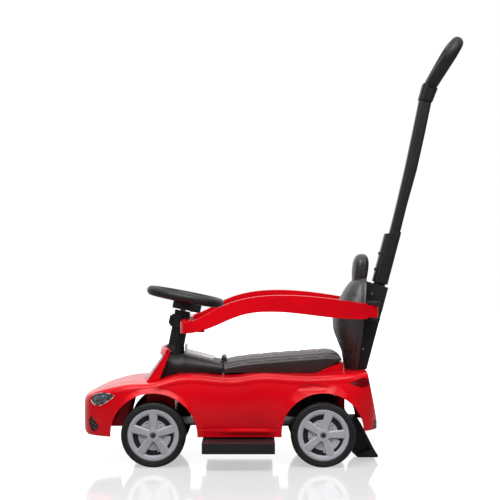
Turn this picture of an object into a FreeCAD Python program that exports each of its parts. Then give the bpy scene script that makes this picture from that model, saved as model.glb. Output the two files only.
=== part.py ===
"""Push car with handle: a toddler's ride-on car with guard rails and a parent's push handle.

Millimetres, +Z up, the nose towards -X and the left side towards -Y.
The origin is on the floor, under the middle of the whole car.
"""
import FreeCAD, Part
import functools
import math
import os

V = FreeCAD.Vector

# Wheels and axles
WHEEL_DIAMETER = 136.0
WHEEL_WIDTH = 44.0
TRACK_WIDTH = 300.0
FRONT_AXLE_X = -252.0
WHEELBASE = 356.0
AXLE_DIAMETER = 10.0
COVER_DIAMETER = 108.0
COVER_DEPTH = 7.5
SPOKE_COUNT = 5
SPOKE_RIM_WIDTH = 19.0
SPOKE_HUB_WIDTH = 13.5
BRAKE_DISC_DIAMETER = 64.0
CENTRE_CAP_DIAMETER = 13.5
AXLE_NUT_DIAMETER = 17.0
AXLE_NUT_DEPTH = 3.0
FRONT_SPOKE_TURN = 0.0
REAR_SPOKE_TURN = 15.0

# Body shell
NOSE_X = -407.0
BODY_LENGTH = 631.0
BODY_WIDTH = 286.0
FENDER_FLARE = 7.0
FENDER_REACH = 60.0
SILL_HEIGHT = 62.0
SILL_INSET = 9.0
NOSE_HEIGHT = 140.0
HOOD_HEIGHT = 177.0
DECK_HEIGHT = 192.0
TAIL_HEIGHT = 199.0
BODY_WALL = 3.0
NOSE_WIDTH = 90.0
TAIL_WIDTH = 110.0
FRONT_ARCH_RADIUS = 92.0
FRONT_ARCH_HEIGHT = 63.5
REAR_ARCH_RADIUS = 87.0
REAR_ARCH_HEIGHT = 69.0
ARCH_LIP = 3.0
SHOULDER_DROP = 20.0
SHOULDER_TUCK = 3.5
SILL_GROOVE_HEIGHT = 78.0
SILL_GROOVE_WIDTH = 3.5
SILL_GROOVE_DEPTH = 1.4

# Chassis
PAN_BOTTOM = 78.0
PAN_THICKNESS = 4.0
PAN_WIDTH = 256.0
PAN_SPINE_WIDTH = 120.0
PAN_REAR_WIDTH = 145.0
POST_DIAMETER = 14.0

# Steering
COLUMN_TILT = 11.0
WHEEL_RIM_DIAMETER = 172.0
WHEEL_RIM_TUBE = 20.0
STEERING_WHEEL_X = -191.0
STEERING_WHEEL_HEIGHT = 353.0
SHAFT_DIAMETER = 12.0
COLUMN_DIAMETER = 35.0
CRANK_LENGTH = 30.0
KNUCKLE_ARM = 40.0
KINGPIN_TRACK = 188.0
KINGPIN_DIAMETER = 12.0
TIE_ROD_HEIGHT = 70.0
TIE_ROD_THICKNESS = 5.0
ARM_PIN_DIAMETER = 8.0
HORN_DIAMETER = 36.0
HORN_TRAVEL = 2.0

# Cockpit
WINDSHIELD_RAKE = 35.5
WINDSHIELD_TOP = 230.0
WINDSHIELD_THICKNESS = 4.0
WINDSHIELD_WIDTH = 190.0
CONSOLE_WIDTH = 156.0
SEAT_WIDTH = 156.0
SEAT_FRONT_X = -107.0
SEAT_HINGE_X = 134.0
SEAT_HINGE_HEIGHT = 224.0
SEAT_BARREL_RADIUS = 13.5
SEAT_WALL = 3.5
HINGE_PIN_DIAMETER = 6.0
HINGE_PIN_LENGTH = 124.0
BIN_LENGTH = 176.0
BIN_WIDTH = 112.0
BIN_DEPTH = 96.0
BIN_WALL = 2.5

# Backrest and guard rails
BACKREST_BASE_X = 184.0
BACKREST_LEAN = 5.6
BACKREST_BASE_HEIGHT = 197.0
RAIL_THICKNESS = 18.0
RAIL_OUTER_Y = 200.0
RAIL_PIN_X = 212.0
RAIL_PIN_Y = 121.0
RAIL_PIN_DIAMETER = 8.0
RAIL_EYE_TOP = 339.5
RAIL_EYE_BOTTOM = 313.5

# Push handle
HANDLE_TILT = 14.8
HANDLE_X = 235.4
HANDLE_HEIGHT = 383.0
SLEEVE_DEPTH = 33.0
SLEEVE_WIDTH = 46.0
SLEEVE_LENGTH = 110.0
TONGUE_DEPTH = 24.0
TONGUE_WIDTH = 38.0
TONGUE_LENGTH = 78.0
SHAFT_TUBE_DEPTH = 22.0
SHAFT_TUBE_WIDTH = 34.0
SHAFT_TUBE_WALL = 2.5
GRIP_DIAMETER = 27.0
GRIP_LEAN = 31.0
GRIP_WIDTH = 190.0
SNAP_DIAMETER = 6.4

# Footrests and stand
FOOTREST_X0 = -149.0
FOOTREST_X1 = 2.0
FOOTREST_BOTTOM = 36.0
FOOTREST_THICKNESS = 22.0
FOOTREST_OUTER_Y = 200.0
FOOTREST_DEPTH = 108.0
STAND_WIDTH = 100.0
STAND_CLEARANCE = 7.0

# Clearances
SEAT_GAP = 0.3
RUNNING_FIT = 0.06
SLIDE_FIT = 0.15
LOOSE_FIT = 0.4

WHEEL_RADIUS = WHEEL_DIAMETER / 2
REAR_AXLE_X = FRONT_AXLE_X + WHEELBASE
WHEEL_MID_Y = (TRACK_WIDTH - WHEEL_WIDTH) / 2
WHEEL_INNER_Y = TRACK_WIDTH / 2 - WHEEL_WIDTH
TAIL_X = NOSE_X + BODY_LENGTH
PAN_TOP = PAN_BOTTOM + PAN_THICKNESS
KINGPIN_Y = KINGPIN_TRACK / 2
ARM_PIN_X = FRONT_AXLE_X + KNUCKLE_ARM
COLUMN_TOP = -32.0
FLANGE_THICKNESS = 2.0


# Basic shapes
def box(x0, x1, y0, y1, z0, z1):
    return Part.makeBox(x1 - x0, y1 - y0, z1 - z0, V(x0, y0, z0))


def rod(start, end, radius):
    return Part.makeCylinder(radius, (end - start).Length, start, end - start)


def upright(x, y, z0, z1, radius):
    return rod(V(x, y, z0), V(x, y, z1), radius)


def crosswise(x, z, y0, y1, radius):
    return rod(V(x, y0, z), V(x, y1, z), radius)


def line(a, b):
    return Part.makeLine(a, b)


def arc(a, through, b):
    return Part.Arc(a, through, b).toShape()


def spline(points):
    path = Part.BSplineCurve()
    path.interpolate(points)
    return path.toShape()


def polygon(points):
    return Part.Face(Part.makePolygon(list(points) + [points[0]]))


def side_plate(points, y0, y1):
    """A plate whose outline is given in the side view as (x, z), reaching from y0 to y1."""
    return polygon([V(x, y0, z) for x, z in points]).extrude(V(0, y1 - y0, 0))


def fused(shapes):
    return shapes[0].multiFuse(shapes[1:]).removeSplitter()


def mirrored(shape):
    return shape.mirror(V(0, 0, 0), V(0, 1, 0))


def both_sides(shape):
    return Part.makeCompound([shape, mirrored(shape)])


def round_along(shape, direction, radius):
    """Rounds every straight edge that runs along a direction."""
    edges = []
    for edge in shape.Edges:
        straight = isinstance(edge.Curve, Part.Line)
        if straight and abs(edge.tangentAt(edge.FirstParameter).dot(direction)) > 0.999:
            edges.append(edge)
    return shape.makeFillet(radius, edges)


def rounded_rectangle(centre, across, width, along, depth, radius):
    """A closed wire with round corners: width along one unit vector, depth along the other."""
    w = width / 2
    d = depth / 2
    k = radius * (1 - math.sqrt(0.5))

    def at(u, v):
        return centre + across * u + along * v

    edges = []
    corners = [(1, 1), (-1, 1), (-1, -1), (1, -1)]
    for number, (su, sv) in enumerate(corners):
        first = at(su * w, sv * (d - radius))
        last = at(su * (w - radius), sv * d)
        if number % 2:
            first, last = last, first
        edges.append(arc(first, at(su * (w - k), sv * (d - k)), last))
        after_u, after_v = corners[(number + 1) % 4]
        if number % 2:
            following = at(after_u * w, after_v * (d - radius))
        else:
            following = at(after_u * (w - radius), after_v * d)
        edges.append(line(last, following))
    return Part.Wire(edges)


def tilted(shape, degrees, x, z):
    """Leans a shape back about the Y axis, then sets its origin at (x, 0, z)."""
    shape.rotate(V(0, 0, 0), V(0, 1, 0), degrees)
    shape.translate(V(x, 0, z))
    return shape


def rounded_path(points, radius):
    """A closed path of straight runs with a tangent arc at each corner."""
    count = len(points)
    ends = []
    edges = []
    for i in range(count):
        corner = points[i]
        before = (points[i - 1] - corner).normalize()
        after = (points[(i + 1) % count] - corner).normalize()
        half = before.getAngle(after) / 2
        reach = radius / math.tan(half)
        middle = (before + after).normalize() * (radius / math.sin(half) - radius)
        ends.append((corner + before * reach, corner + middle, corner + after * reach))
    for i in range(count):
        edges.append(arc(*ends[i]))
        edges.append(line(ends[i][2], ends[(i + 1) % count][0]))
    return Part.Wire(edges)


# Body shell: a hull lofted through cross sections from the nose to the tail
HULL_FLOOR = SILL_HEIGHT - 20.0
HOOD_END_X = NOSE_X + 143.0
COWL_END_X = HOOD_END_X + 72.0
DECK_FLAT_X = COWL_END_X - 20.0
NOSE_ROUND_X = NOSE_X + 110.0
TAIL_ROUND_X = TAIL_X - 80.0
DECK_END_X = 92.0
TAIL_TOP_X = TAIL_X - 25.0
CREASE_START_X = FRONT_AXLE_X - 80.0


def corner_rise(x, start, end):
    """A quarter ellipse: 0 at start and 1 at end."""
    part = min(max((x - end) / (start - end), 0.0), 1.0)
    return math.sqrt(max(1 - part * part, 0.0))


def ramp(x, start, end):
    part = min(max((x - start) / (end - start), 0.0), 1.0)
    return part * part * (3 - 2 * part)


def hull_half_width(x):
    side = BODY_WIDTH / 2
    width = NOSE_WIDTH / 2 + (side - NOSE_WIDTH / 2) * corner_rise(x, NOSE_X, NOSE_ROUND_X)
    width -= (side - TAIL_WIDTH / 2) * (1 - corner_rise(x, TAIL_X, TAIL_ROUND_X))
    for axle in (FRONT_AXLE_X, REAR_AXLE_X):
        width += FENDER_FLARE * math.exp(-((x - axle) / FENDER_REACH) ** 2)
    return width


def hull_height(x):
    if x < HOOD_END_X:
        reach = (HOOD_END_X - x) / (HOOD_END_X - NOSE_X)
        return NOSE_HEIGHT + (HOOD_HEIGHT - NOSE_HEIGHT) * max(1 - reach * reach, 0.0) ** 0.85
    cowl = (DECK_HEIGHT + 1 - HOOD_HEIGHT) * ramp(x, HOOD_END_X, COWL_END_X)
    tail = (TAIL_HEIGHT - DECK_HEIGHT - 1) * ramp(x, DECK_END_X, TAIL_TOP_X)
    return HOOD_HEIGHT + cowl + tail


def hull_section(x, inset, floor):
    """The closed outline across the hull at x, drawn in by inset, with its bottom edge at floor."""
    half = hull_half_width(x) - inset
    top = hull_height(x) - inset * 1.3
    shoulder = top - SHOULDER_DROP
    rise = shoulder - SILL_HEIGHT
    sill = (half - SILL_INSET, SILL_HEIGHT)
    foot = (half - SILL_INSET - 0.35 * (SILL_HEIGHT - floor), floor)
    waist = [(half - 2, SILL_HEIGHT + 0.40 * rise), (half, SILL_HEIGHT + 0.72 * rise)]
    tuck = SHOULDER_TUCK * ramp(x, CREASE_START_X, FRONT_AXLE_X) * ramp(x, TAIL_X, TAIL_ROUND_X)
    crease = (half - 1 - tuck, shoulder)
    bend = (crease[0] - 3.0, top - 0.38 * SHOULDER_DROP)
    crest = (half - 22, top - 2.0)
    crown = [(0.42 * half, top - 0.4)]

    def right(points):
        return [V(x, y, z) for y, z in points]

    def left(points):
        return [V(x, -y, z) for y, z in reversed(points)]

    side = [sill] + waist + [crease]
    if floor < SILL_HEIGHT:
        side = [foot] + side
    band = [crease, bend, crest]
    roof = right([crest] + crown) + [V(x, 0, top)] + left([crest] + crown)
    edges = [spline(right(side)), spline(right(band)), spline(roof)]
    edges += [spline(left(band)), spline(left(side))]
    edges.append(line(V(x, -foot[0], floor), V(x, foot[0], floor)))
    return Part.Wire(edges)


@functools.cache
def hull(inset, floor):
    """The hull as one solid, its skin drawn in by inset and its tail cut on a slant."""
    nose = NOSE_X + inset
    round_length = NOSE_ROUND_X - NOSE_X
    stations = [nose]
    for share in (0.03, 0.11, 0.25, 0.45, 0.70, 1.0):
        stations.append(NOSE_X + inset + (round_length - inset) * share)
    stations += [FRONT_AXLE_X, FRONT_AXLE_X + 52, -150.0, -50.0, 40.0, REAR_AXLE_X, TAIL_ROUND_X, 180.0]
    stations += [TAIL_X - 24, TAIL_X - 8, TAIL_X - 0.5]
    solid = Part.makeLoft([hull_section(x, inset, floor) for x in stations], True, False)
    slant_top = V(TAIL_TOP_X - inset, 0, TAIL_HEIGHT)
    slant_foot = V(TAIL_X - inset, 0, SILL_HEIGHT + 20)
    reach = slant_foot - slant_top
    high = slant_top - reach
    low = slant_top + reach * 3
    behind = [high, low, low + V(300, 0, 0), high + V(300, 0, 0)]
    cutter = polygon([p - V(0, 400, 0) for p in behind]).extrude(V(0, 800, 0))
    return solid.cut(cutter)


WINDOW_DEPTH = 65.0


def side_window(points, grow, smooth):
    """A prism through the left skin with an outline given in the side view, grown by a margin."""
    middle_x = sum(p[0] for p in points) / len(points)
    middle_z = sum(p[1] for p in points) / len(points)
    moved = []
    for x, z in points:
        length = math.hypot(x - middle_x, z - middle_z)
        moved.append((x + (x - middle_x) / length * grow, z + (z - middle_z) / length * grow))
    depth = BODY_WIDTH / 2 + WINDOW_DEPTH
    if not smooth:
        return side_plate(moved, -BODY_WIDTH, depth - BODY_WIDTH)
    rim = Part.BSplineCurve()
    rim.interpolate([V(x, -BODY_WIDTH, z) for x, z in moved], PeriodicFlag=True)
    return Part.Face(Part.Wire(rim.toShape())).extrude(V(0, depth, 0))


HEADLAMP = [
    (-386, 137), (-384, 145), (-376, 150), (-361, 154), (-346, 153.5), (-335, 148.5),
    (-345, 140), (-357, 132), (-367, 127), (-377, 127), (-383.5, 131),
]
INTAKE = [(-386, 104), (-381, 96.5), (-370, 85), (-372, 77), (-378, 71), (-386, 71), (-392, 84), (-392, 96)]
TAIL_LAMP = [(161, 177), (172, 181), (200, 182), (204, 171), (194, 166), (178, 168)]
GRILLE_HALF_WIDTH = 54.0
GRILLE_TOP = 131.0
GRILLE_BOTTOM = 96.0
DIFFUSER_TOP = 92.0
DIFFUSER_HALF_WIDTH = 92.0
REAR_SKIRT = 73.0


def grille_opening(grow):
    top = GRILLE_TOP + grow
    bottom = GRILLE_BOTTOM - grow
    wide = GRILLE_HALF_WIDTH + grow
    narrow = wide - 14
    outline = [V(NOSE_X - 20, wide, top), V(NOSE_X - 20, narrow, bottom)]
    outline += [V(NOSE_X - 20, -narrow, bottom), V(NOSE_X - 20, -wide, top)]
    return polygon(outline).extrude(V(40, 0, 0))


def diffuser_zone(grow):
    half = DIFFUSER_HALF_WIDTH + grow
    return box(TAIL_X - 16 - grow, TAIL_X + 20, -half, half, SILL_HEIGHT - 10, DIFFUSER_TOP + grow)


def windshield_zone(grow):
    """The slanted slot in the cowl that the windshield frame's foot stands in."""
    return windshield_blank(-grow, WINDSHIELD_THICKNESS + grow, WINDSHIELD_WIDTH / 2 + grow)


POST_PLACES = [(-342.0, 40.0), (-146.0, 100.0), (6.0, 100.0), (148.0, 52.0)]
NOSE_WALL_Y = 74.0
NOSE_WALL_END_X = FRONT_AXLE_X - 51.0
NOSE_WALL_SLANT = 14.0
REAR_ARCH_INNER_Y = 63.0
FAIRING_HALF_WIDTH = SEAT_WIDTH / 2 + 3
FAIRING_TOP = SEAT_HINGE_HEIGHT - SEAT_BARREL_RADIUS + 4.0
FAIRING_END_X = SEAT_HINGE_X + SEAT_BARREL_RADIUS + 3.0
LUG_Y = 46.0
LUG_WIDTH = 9.0
LUG_RADIUS = 8.0
BACKREST_TONGUE_HALF = 40.0
SEAT_SLOPE = [(DECK_END_X, DECK_HEIGHT), (112.0, DECK_HEIGHT + 9.5), (SEAT_HINGE_X - 9, FAIRING_TOP - 7.5)]


ARCH_LIP_DEPTH = 14.0
ARCHES = [
    (FRONT_AXLE_X, FRONT_ARCH_HEIGHT, FRONT_ARCH_RADIUS, NOSE_WALL_Y + 1, 60.0, 62.0, 100.0),
    (REAR_AXLE_X, REAR_ARCH_HEIGHT, REAR_ARCH_RADIUS, REAR_ARCH_INNER_Y, 70.0, 75.0, 188.0),
]


def arch_sector(axle, height, first, last):
    """A wedge about an axle, between two angles counted up from the rear."""
    reach = 200.0
    outline = [(axle, height)]
    steps = 4
    for step in range(steps + 1):
        angle = math.radians(first + (last - first) * step / steps)
        outline.append((axle + reach * math.cos(angle), height + reach * math.sin(angle)))
    return side_plate(outline, -BODY_WIDTH, BODY_WIDTH)


def nose_walls():
    """The stiffening walls under the hood, ahead of the wheels, with a slanted hole in each."""
    low = PAN_BOTTOM
    front = NOSE_X + 10
    end = NOSE_WALL_END_X
    outline = [(front, low), (end - NOSE_WALL_SLANT, low), (end, HOOD_HEIGHT - 40)]
    outline += [(end, HOOD_HEIGHT), (front, HOOD_HEIGHT)]
    wall = side_plate(outline, -NOSE_WALL_Y, BODY_WALL - NOSE_WALL_Y)
    holes = []
    for step in range(4):
        x = end - 37 + 2 * step
        z = low + 18 + 4 * step
        holes.append(crosswise(x, z, -NOSE_WALL_Y - 5, 10 - NOSE_WALL_Y, 4))
    return both_sides(wall.cut(holes))


def nose_chin():
    """What is trimmed away to round the bumper's lower edge in the side view."""
    low = SILL_HEIGHT - 12
    outline = [(NOSE_X - 5, low), (NOSE_X - 5, SILL_HEIGHT + 14), (NOSE_X + 1, SILL_HEIGHT + 10)]
    outline += [(NOSE_X + 5, SILL_HEIGHT + 4), (NOSE_X + 12, SILL_HEIGHT - 0.1), (NOSE_X + 12, low)]
    return side_plate(outline, -BODY_WIDTH, BODY_WIDTH)


def sill_grooves():
    """The shadow line pressed into both sills, from one wheel arch to the other."""
    x0 = FRONT_AXLE_X + FRONT_ARCH_RADIUS + 6
    x1 = REAR_AXLE_X - REAR_ARCH_RADIUS - 6
    top = SILL_GROOVE_HEIGHT + SILL_GROOVE_WIDTH
    slab = box(x0, x1, -BODY_WIDTH, BODY_WIDTH, SILL_GROOVE_HEIGHT, top)
    return slab.cut(hull(SILL_GROOVE_DEPTH, HULL_FLOOR))


def body_shell(outer):
    inner = hull(BODY_WALL, HULL_FLOOR)
    shell = outer.cut(inner)
    posts = []
    for x, y in POST_PLACES:
        for side in (-1, 1):
            posts.append(upright(x, side * y, PAN_TOP, hull_height(x) - 3.2, POST_DIAMETER / 2))
    fairing_outline = [(DECK_END_X, DECK_HEIGHT - 5)] + SEAT_SLOPE
    fairing_outline += [(FAIRING_END_X - 3, FAIRING_TOP), (FAIRING_END_X, FAIRING_TOP)]
    fairing_outline.append((FAIRING_END_X, DECK_HEIGHT - 5))
    fairing = side_plate(fairing_outline, -FAIRING_HALF_WIDTH, FAIRING_HALF_WIDTH)
    inner = FAIRING_HALF_WIDTH - BODY_WALL
    hollow = box(DECK_END_X + 20, FAIRING_END_X - BODY_WALL, -inner, inner, 150, DECK_HEIGHT)
    fairing = fairing.cut(hollow)
    barrel = crosswise(SEAT_HINGE_X, SEAT_HINGE_HEIGHT, -SEAT_WIDTH, SEAT_WIDTH, SEAT_BARREL_RADIUS + 1.0)
    fairing = fairing.cut(barrel)
    lips = []
    for axle, height, radius, inner, liner, first, last in ARCHES:
        side = -BODY_WIDTH / 2
        lip = crosswise(axle, height, -BODY_WIDTH, side + ARCH_LIP_DEPTH, radius + ARCH_LIP)
        deep = crosswise(axle, height, -BODY_WIDTH, side + liner, radius + ARCH_LIP)
        deep = deep.common(arch_sector(axle, height, first, last))
        for ring in (lip, deep):
            lips.append(ring.common(outer))
            lips.append(mirrored(lips[-1]))
    shell = shell.multiFuse(posts + [fairing, nose_walls().common(outer)] + lips)
    cuts = []
    for axle, height, radius, inner, liner, first, last in ARCHES:
        for y0, y1 in ((-BODY_WIDTH, -inner), (inner, BODY_WIDTH)):
            cuts.append(crosswise(axle, height, y0, y1, radius))
    cuts.append(box(DECK_FLAT_X, DECK_END_X, -102, 102, DECK_HEIGHT, DECK_HEIGHT + 30))
    seat_back = BACKREST_BASE_HEIGHT - SEAT_GAP
    cuts.append(box(FAIRING_END_X, TAIL_X, -76, 76, seat_back, DECK_HEIGHT + 60))
    cuts.append(bin_block(LOOSE_FIT, DECK_HEIGHT - BIN_DEPTH, DECK_HEIGHT + 40))
    cuts.append(backrest_tongue(SEAT_GAP))
    cuts.append(windshield_zone(SEAT_GAP))
    cuts.append(steering_axis_rod(SHAFT_DIAMETER / 2 + 3, COLUMN_TOP, -220))
    cuts.append(grille_opening(0))
    cuts.append(diffuser_zone(0))
    skirt_x = REAR_AXLE_X + REAR_ARCH_RADIUS - 6
    cuts.append(box(skirt_x, TAIL_X + 20, -BODY_WIDTH, BODY_WIDTH, 0, REAR_SKIRT))
    for outline, smooth in ((HEADLAMP, True), (INTAKE, False), (TAIL_LAMP, True)):
        cuts.append(both_sides(side_window(outline, 0, smooth)))
    cuts.append(nose_chin())
    cuts.append(sill_grooves())
    shell = shell.cut(cuts)
    lugs = []
    for side in (-1, 1):
        y0 = side * LUG_Y - LUG_WIDTH / 2
        y1 = side * LUG_Y + LUG_WIDTH / 2
        neck = box(SEAT_HINGE_X - 4, SEAT_HINGE_X + LUG_RADIUS, y0, y1, DECK_HEIGHT + 2, SEAT_HINGE_HEIGHT)
        eye = crosswise(SEAT_HINGE_X, SEAT_HINGE_HEIGHT, y0, y1, LUG_RADIUS)
        bore = crosswise(SEAT_HINGE_X, SEAT_HINGE_HEIGHT, y0, y1, HINGE_PIN_DIAMETER / 2)
        lugs.append(neck.fuse(eye).cut(bore))
    shell = shell.multiFuse(lugs)
    return max(shell.Solids, key=lambda solid: solid.Volume)


def skin_patch(outer_inset, inner_inset, zone):
    """A patch of the hull's skin between two depths, inside a zone."""
    patch = zone.common(hull(outer_inset, HULL_FLOOR)).cut(hull(inner_inset, HULL_FLOOR))
    return max(patch.Solids, key=lambda solid: solid.Volume)


def front_grille():
    backing = skin_patch(BODY_WALL, BODY_WALL + 2.5, grille_opening(5))
    bars = []
    count = 5
    step = (GRILLE_TOP - GRILLE_BOTTOM) / count
    for row in range(count):
        height = GRILLE_BOTTOM + step * (row + 0.5)
        x1 = NOSE_X + BODY_WALL + 0.5
        bar = box(NOSE_X + 0.8, x1, -GRILLE_HALF_WIDTH, GRILLE_HALF_WIDTH, height - 1.3, height + 1.3)
        bars.append(bar.common(grille_opening(-0.4)))
    return fused([backing] + bars)


def bumper_intakes():
    backing = skin_patch(BODY_WALL, BODY_WALL + 2.5, side_window(INTAKE, 3, False))
    slats = []
    low = min(z for x, z in INTAKE)
    high = max(z for x, z in INTAKE)
    rows = 4
    for row in range(rows):
        height = low + (high - low) * (row + 0.5) / rows
        level = box(NOSE_X, FRONT_AXLE_X, -BODY_WIDTH, 0, height - 1.2, height + 1.2)
        zone = side_window(INTAKE, -0.6, False).common(level)
        slats.append(skin_patch(SILL_GROOVE_DEPTH, BODY_WALL + 2.5, zone))
    return both_sides(fused([backing] + slats))


def headlamp_bowls():
    return both_sides(skin_patch(BODY_WALL + SEAT_GAP, BODY_WALL + 2.5, side_window(HEADLAMP, 3, True)))


def headlamp_lenses():
    return both_sides(skin_patch(0.0, SILL_GROOVE_DEPTH, side_window(HEADLAMP, -SEAT_GAP, True)))


def tail_lamps():
    return both_sides(skin_patch(0.0, BODY_WALL, side_window(TAIL_LAMP, -SEAT_GAP, True)))


def rear_diffuser():
    zone = diffuser_zone(-SEAT_GAP).common(box(TAIL_X - 60, TAIL_X + 20, -200, 200, REAR_SKIRT, 200))
    return skin_patch(0.0, BODY_WALL, zone)


# Windshield
WINDSHIELD_BASE_X = HOOD_END_X - 15.0
WINDSHIELD_BASE_HEIGHT = HOOD_HEIGHT - 2.0
WINDSHIELD_SAG = 12.0
WINDSHIELD_FOOT = 8.0
WINDSHIELD_TAPER = 4.0
PILLAR_WIDTH = 15.0
PILLAR_TOP = 240.0
PILLAR_SETBACK = 4.5
PILLAR_SLOPE = 0.68
PILLAR_FOOT_LENGTH = 28.0
PILLAR_HEAD_LENGTH = 8.0
PANE_FOOT = 11.0
PANE_HEAD = 5.0
PANE_DEPTH = 1.0
RAKE_COS = math.cos(math.radians(WINDSHIELD_RAKE))
RAKE_TAN = math.tan(math.radians(WINDSHIELD_RAKE))


def curved_panel(front, back, half, low, high):
    """An upright panel bowed forwards: front and back are depths at its middle."""
    sides = []
    bows = []
    for depth in (front, back):
        rear = depth + WINDSHIELD_SAG
        bows.append(arc(V(rear, -half, low), V(depth, 0, low), V(rear, half, low)))
    for side in (-half, half):
        sides.append(line(V(front + WINDSHIELD_SAG, side, low), V(back + WINDSHIELD_SAG, side, low)))
    wire = Part.Wire(Part.__sortEdges__(bows + sides))
    return Part.Face(wire).extrude(V(0, 0, high - low))


def windshield_reach(height):
    """How far up the slanted windshield a height lies."""
    return (height - WINDSHIELD_BASE_HEIGHT) / RAKE_COS


def on_windshield(shape):
    return tilted(shape, WINDSHIELD_RAKE, WINDSHIELD_BASE_X, WINDSHIELD_BASE_HEIGHT)


def windshield_outline(half, low, high):
    """A prism through the windshield that narrows towards its top."""
    top_half = half - WINDSHIELD_TAPER
    outline = [V(-60, half, low), V(-60, top_half, high), V(-60, -top_half, high), V(-60, -half, low)]
    return polygon(outline).extrude(V(140, 0, 0))


def windshield_blank(front, back, half):
    low = -WINDSHIELD_FOOT
    high = windshield_reach(WINDSHIELD_TOP)
    panel = curved_panel(front, back, half, low, high)
    return on_windshield(panel.common(windshield_outline(half, low, high)))


def windshield_opening(grow):
    low = PANE_FOOT - WINDSHIELD_FOOT - grow
    high = windshield_reach(WINDSHIELD_TOP) - PANE_HEAD + grow
    return windshield_outline(WINDSHIELD_WIDTH / 2 - PILLAR_WIDTH + grow, low, high)


def windshield_pillar():
    """The left pillar: a wedge that stands on the hood and narrows to the windshield's top corner."""
    half = WINDSHIELD_WIDTH / 2
    foot = HOOD_HEIGHT - WINDSHIELD_FOOT
    front_foot = WINDSHIELD_BASE_X + PILLAR_SETBACK
    front_top = front_foot + PILLAR_SLOPE * (PILLAR_TOP - foot)
    outline = [(front_foot, foot), (front_foot + PILLAR_FOOT_LENGTH, foot)]
    outline += [(front_top + PILLAR_HEAD_LENGTH, PILLAR_TOP), (front_top, PILLAR_TOP)]
    wedge = side_plate(outline, -half, PILLAR_WIDTH - half)
    return wedge.cut(hull(-SEAT_GAP, SILL_HEIGHT))


def windshield_frame():
    plate = windshield_blank(0, WINDSHIELD_THICKNESS, WINDSHIELD_WIDTH / 2)
    plate = plate.cut(on_windshield(windshield_opening(0)))
    pillar = windshield_pillar()
    return fused([plate, pillar, mirrored(pillar)])


def windshield_pane():
    reach = windshield_reach(WINDSHIELD_TOP)
    panel = curved_panel(PANE_DEPTH, PANE_DEPTH + 2, WINDSHIELD_WIDTH / 2, 0, reach)
    return on_windshield(panel.common(windshield_opening(-SEAT_GAP / 2)))


# Steering column: its own frame has the shaft along local Z and the wheel's centre at the origin
TILT_COS = math.cos(math.radians(COLUMN_TILT))
TILT_TAN = math.tan(math.radians(COLUMN_TILT))


def on_column(shape):
    return tilted(shape, COLUMN_TILT, STEERING_WHEEL_X, STEERING_WHEEL_HEIGHT)


def column_drop(height):
    """How far below the steering wheel, along the shaft, a height lies."""
    return -(STEERING_WHEEL_HEIGHT - height) / TILT_COS


def steering_axis_rod(radius, top, bottom):
    return on_column(upright(0, 0, bottom, top, radius))


CONSOLE_TOP = 229.0
COLLAR_BASE_HEIGHT = CONSOLE_TOP + 1.0
COLLAR_TALL = 16.0
RAIL_COLLAR_TOP = -42.0
RAIL_COLLAR_BOTTOM = -69.0
RAIL_COLLAR_WALL = 5.0
RAIL_ARM_END = 36.0
RAIL_SETBACK = 16.0
BRIDGE_TOP = 150.0
BRIDGE_BOTTOM = 106.0
BOSS_BOTTOM = 93.0
BOSS_TOP = 128.0
CRANK_DROP = column_drop(94.0)
CRANK_THICKNESS = 8.0


def column_housing():
    radius = COLUMN_DIAMETER / 2
    tube = steering_axis_rod(radius, COLUMN_TOP, -190)
    tube = tube.cut(steering_axis_rod(SHAFT_DIAMETER / 2 + RUNNING_FIT, COLUMN_TOP + 1, -191))
    return tube.cut(box(-400, 100, -100, 100, 0, DECK_HEIGHT))


def column_collar(console):
    """The bell-shaped cuff at the column's foot."""
    inner = COLUMN_DIAMETER / 2 + 0.05
    low = column_drop(COLLAR_BASE_HEIGHT)
    high = low + COLLAR_TALL
    outline = [V(inner, 0, low), V(inner + 3.5, 0, low), V(inner + 1, 0, high), V(inner, 0, high)]
    cuff = polygon(outline).revolve(V(0, 0, 0), V(0, 0, 1), 360)
    return on_column(cuff).cut(box(-400, 100, -100, 100, 0, CONSOLE_TOP)).cut(console)


def rail_collar():
    """The bracket clamped on the column, with an arm to each guard rail."""
    inner = COLUMN_DIAMETER / 2
    outer = inner + RAIL_COLLAR_WALL
    ring = upright(0, 0, RAIL_COLLAR_BOTTOM, RAIL_COLLAR_TOP, outer)
    half = RAIL_THICKNESS / 2
    x0 = RAIL_SETBACK - half
    x1 = RAIL_SETBACK + half
    arms = box(x0, x1, -RAIL_ARM_END, RAIL_ARM_END, RAIL_COLLAR_BOTTOM + 2, RAIL_COLLAR_TOP - 2)
    arms = round_along(arms, V(0, 1, 0), 3)
    clip = box(-outer - 3, 0, -11, 11, RAIL_COLLAR_BOTTOM + 4, RAIL_COLLAR_TOP - 4)
    solid = fused([ring, arms, clip]).cut(upright(0, 0, RAIL_COLLAR_BOTTOM - 1, RAIL_COLLAR_TOP + 1, inner))
    return on_column(solid)


def steering_shaft():
    radius = SHAFT_DIAMETER / 2
    stem = upright(0, 0, CRANK_DROP - CRANK_THICKNESS / 2, -6, radius)
    low = CRANK_DROP - CRANK_THICKNESS / 2
    high = CRANK_DROP + CRANK_THICKNESS / 2
    crank = box(0, CRANK_LENGTH, -7, 7, low, high)
    ends = [upright(0, 0, low, high, 9), upright(CRANK_LENGTH, 0, low, high, 7)]
    pin = upright(CRANK_LENGTH, 0, low - 21, low, 3)
    return on_column(fused([stem, crank, pin] + ends))


def crank_pin_x(height):
    """Where the crank pin's axis stands at a height, with the wheel straight ahead."""
    foot_x = STEERING_WHEEL_X + CRANK_LENGTH * TILT_COS
    foot_z = STEERING_WHEEL_HEIGHT - CRANK_LENGTH * math.sin(math.radians(COLUMN_TILT))
    return foot_x - (foot_z - height) * TILT_TAN


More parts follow.
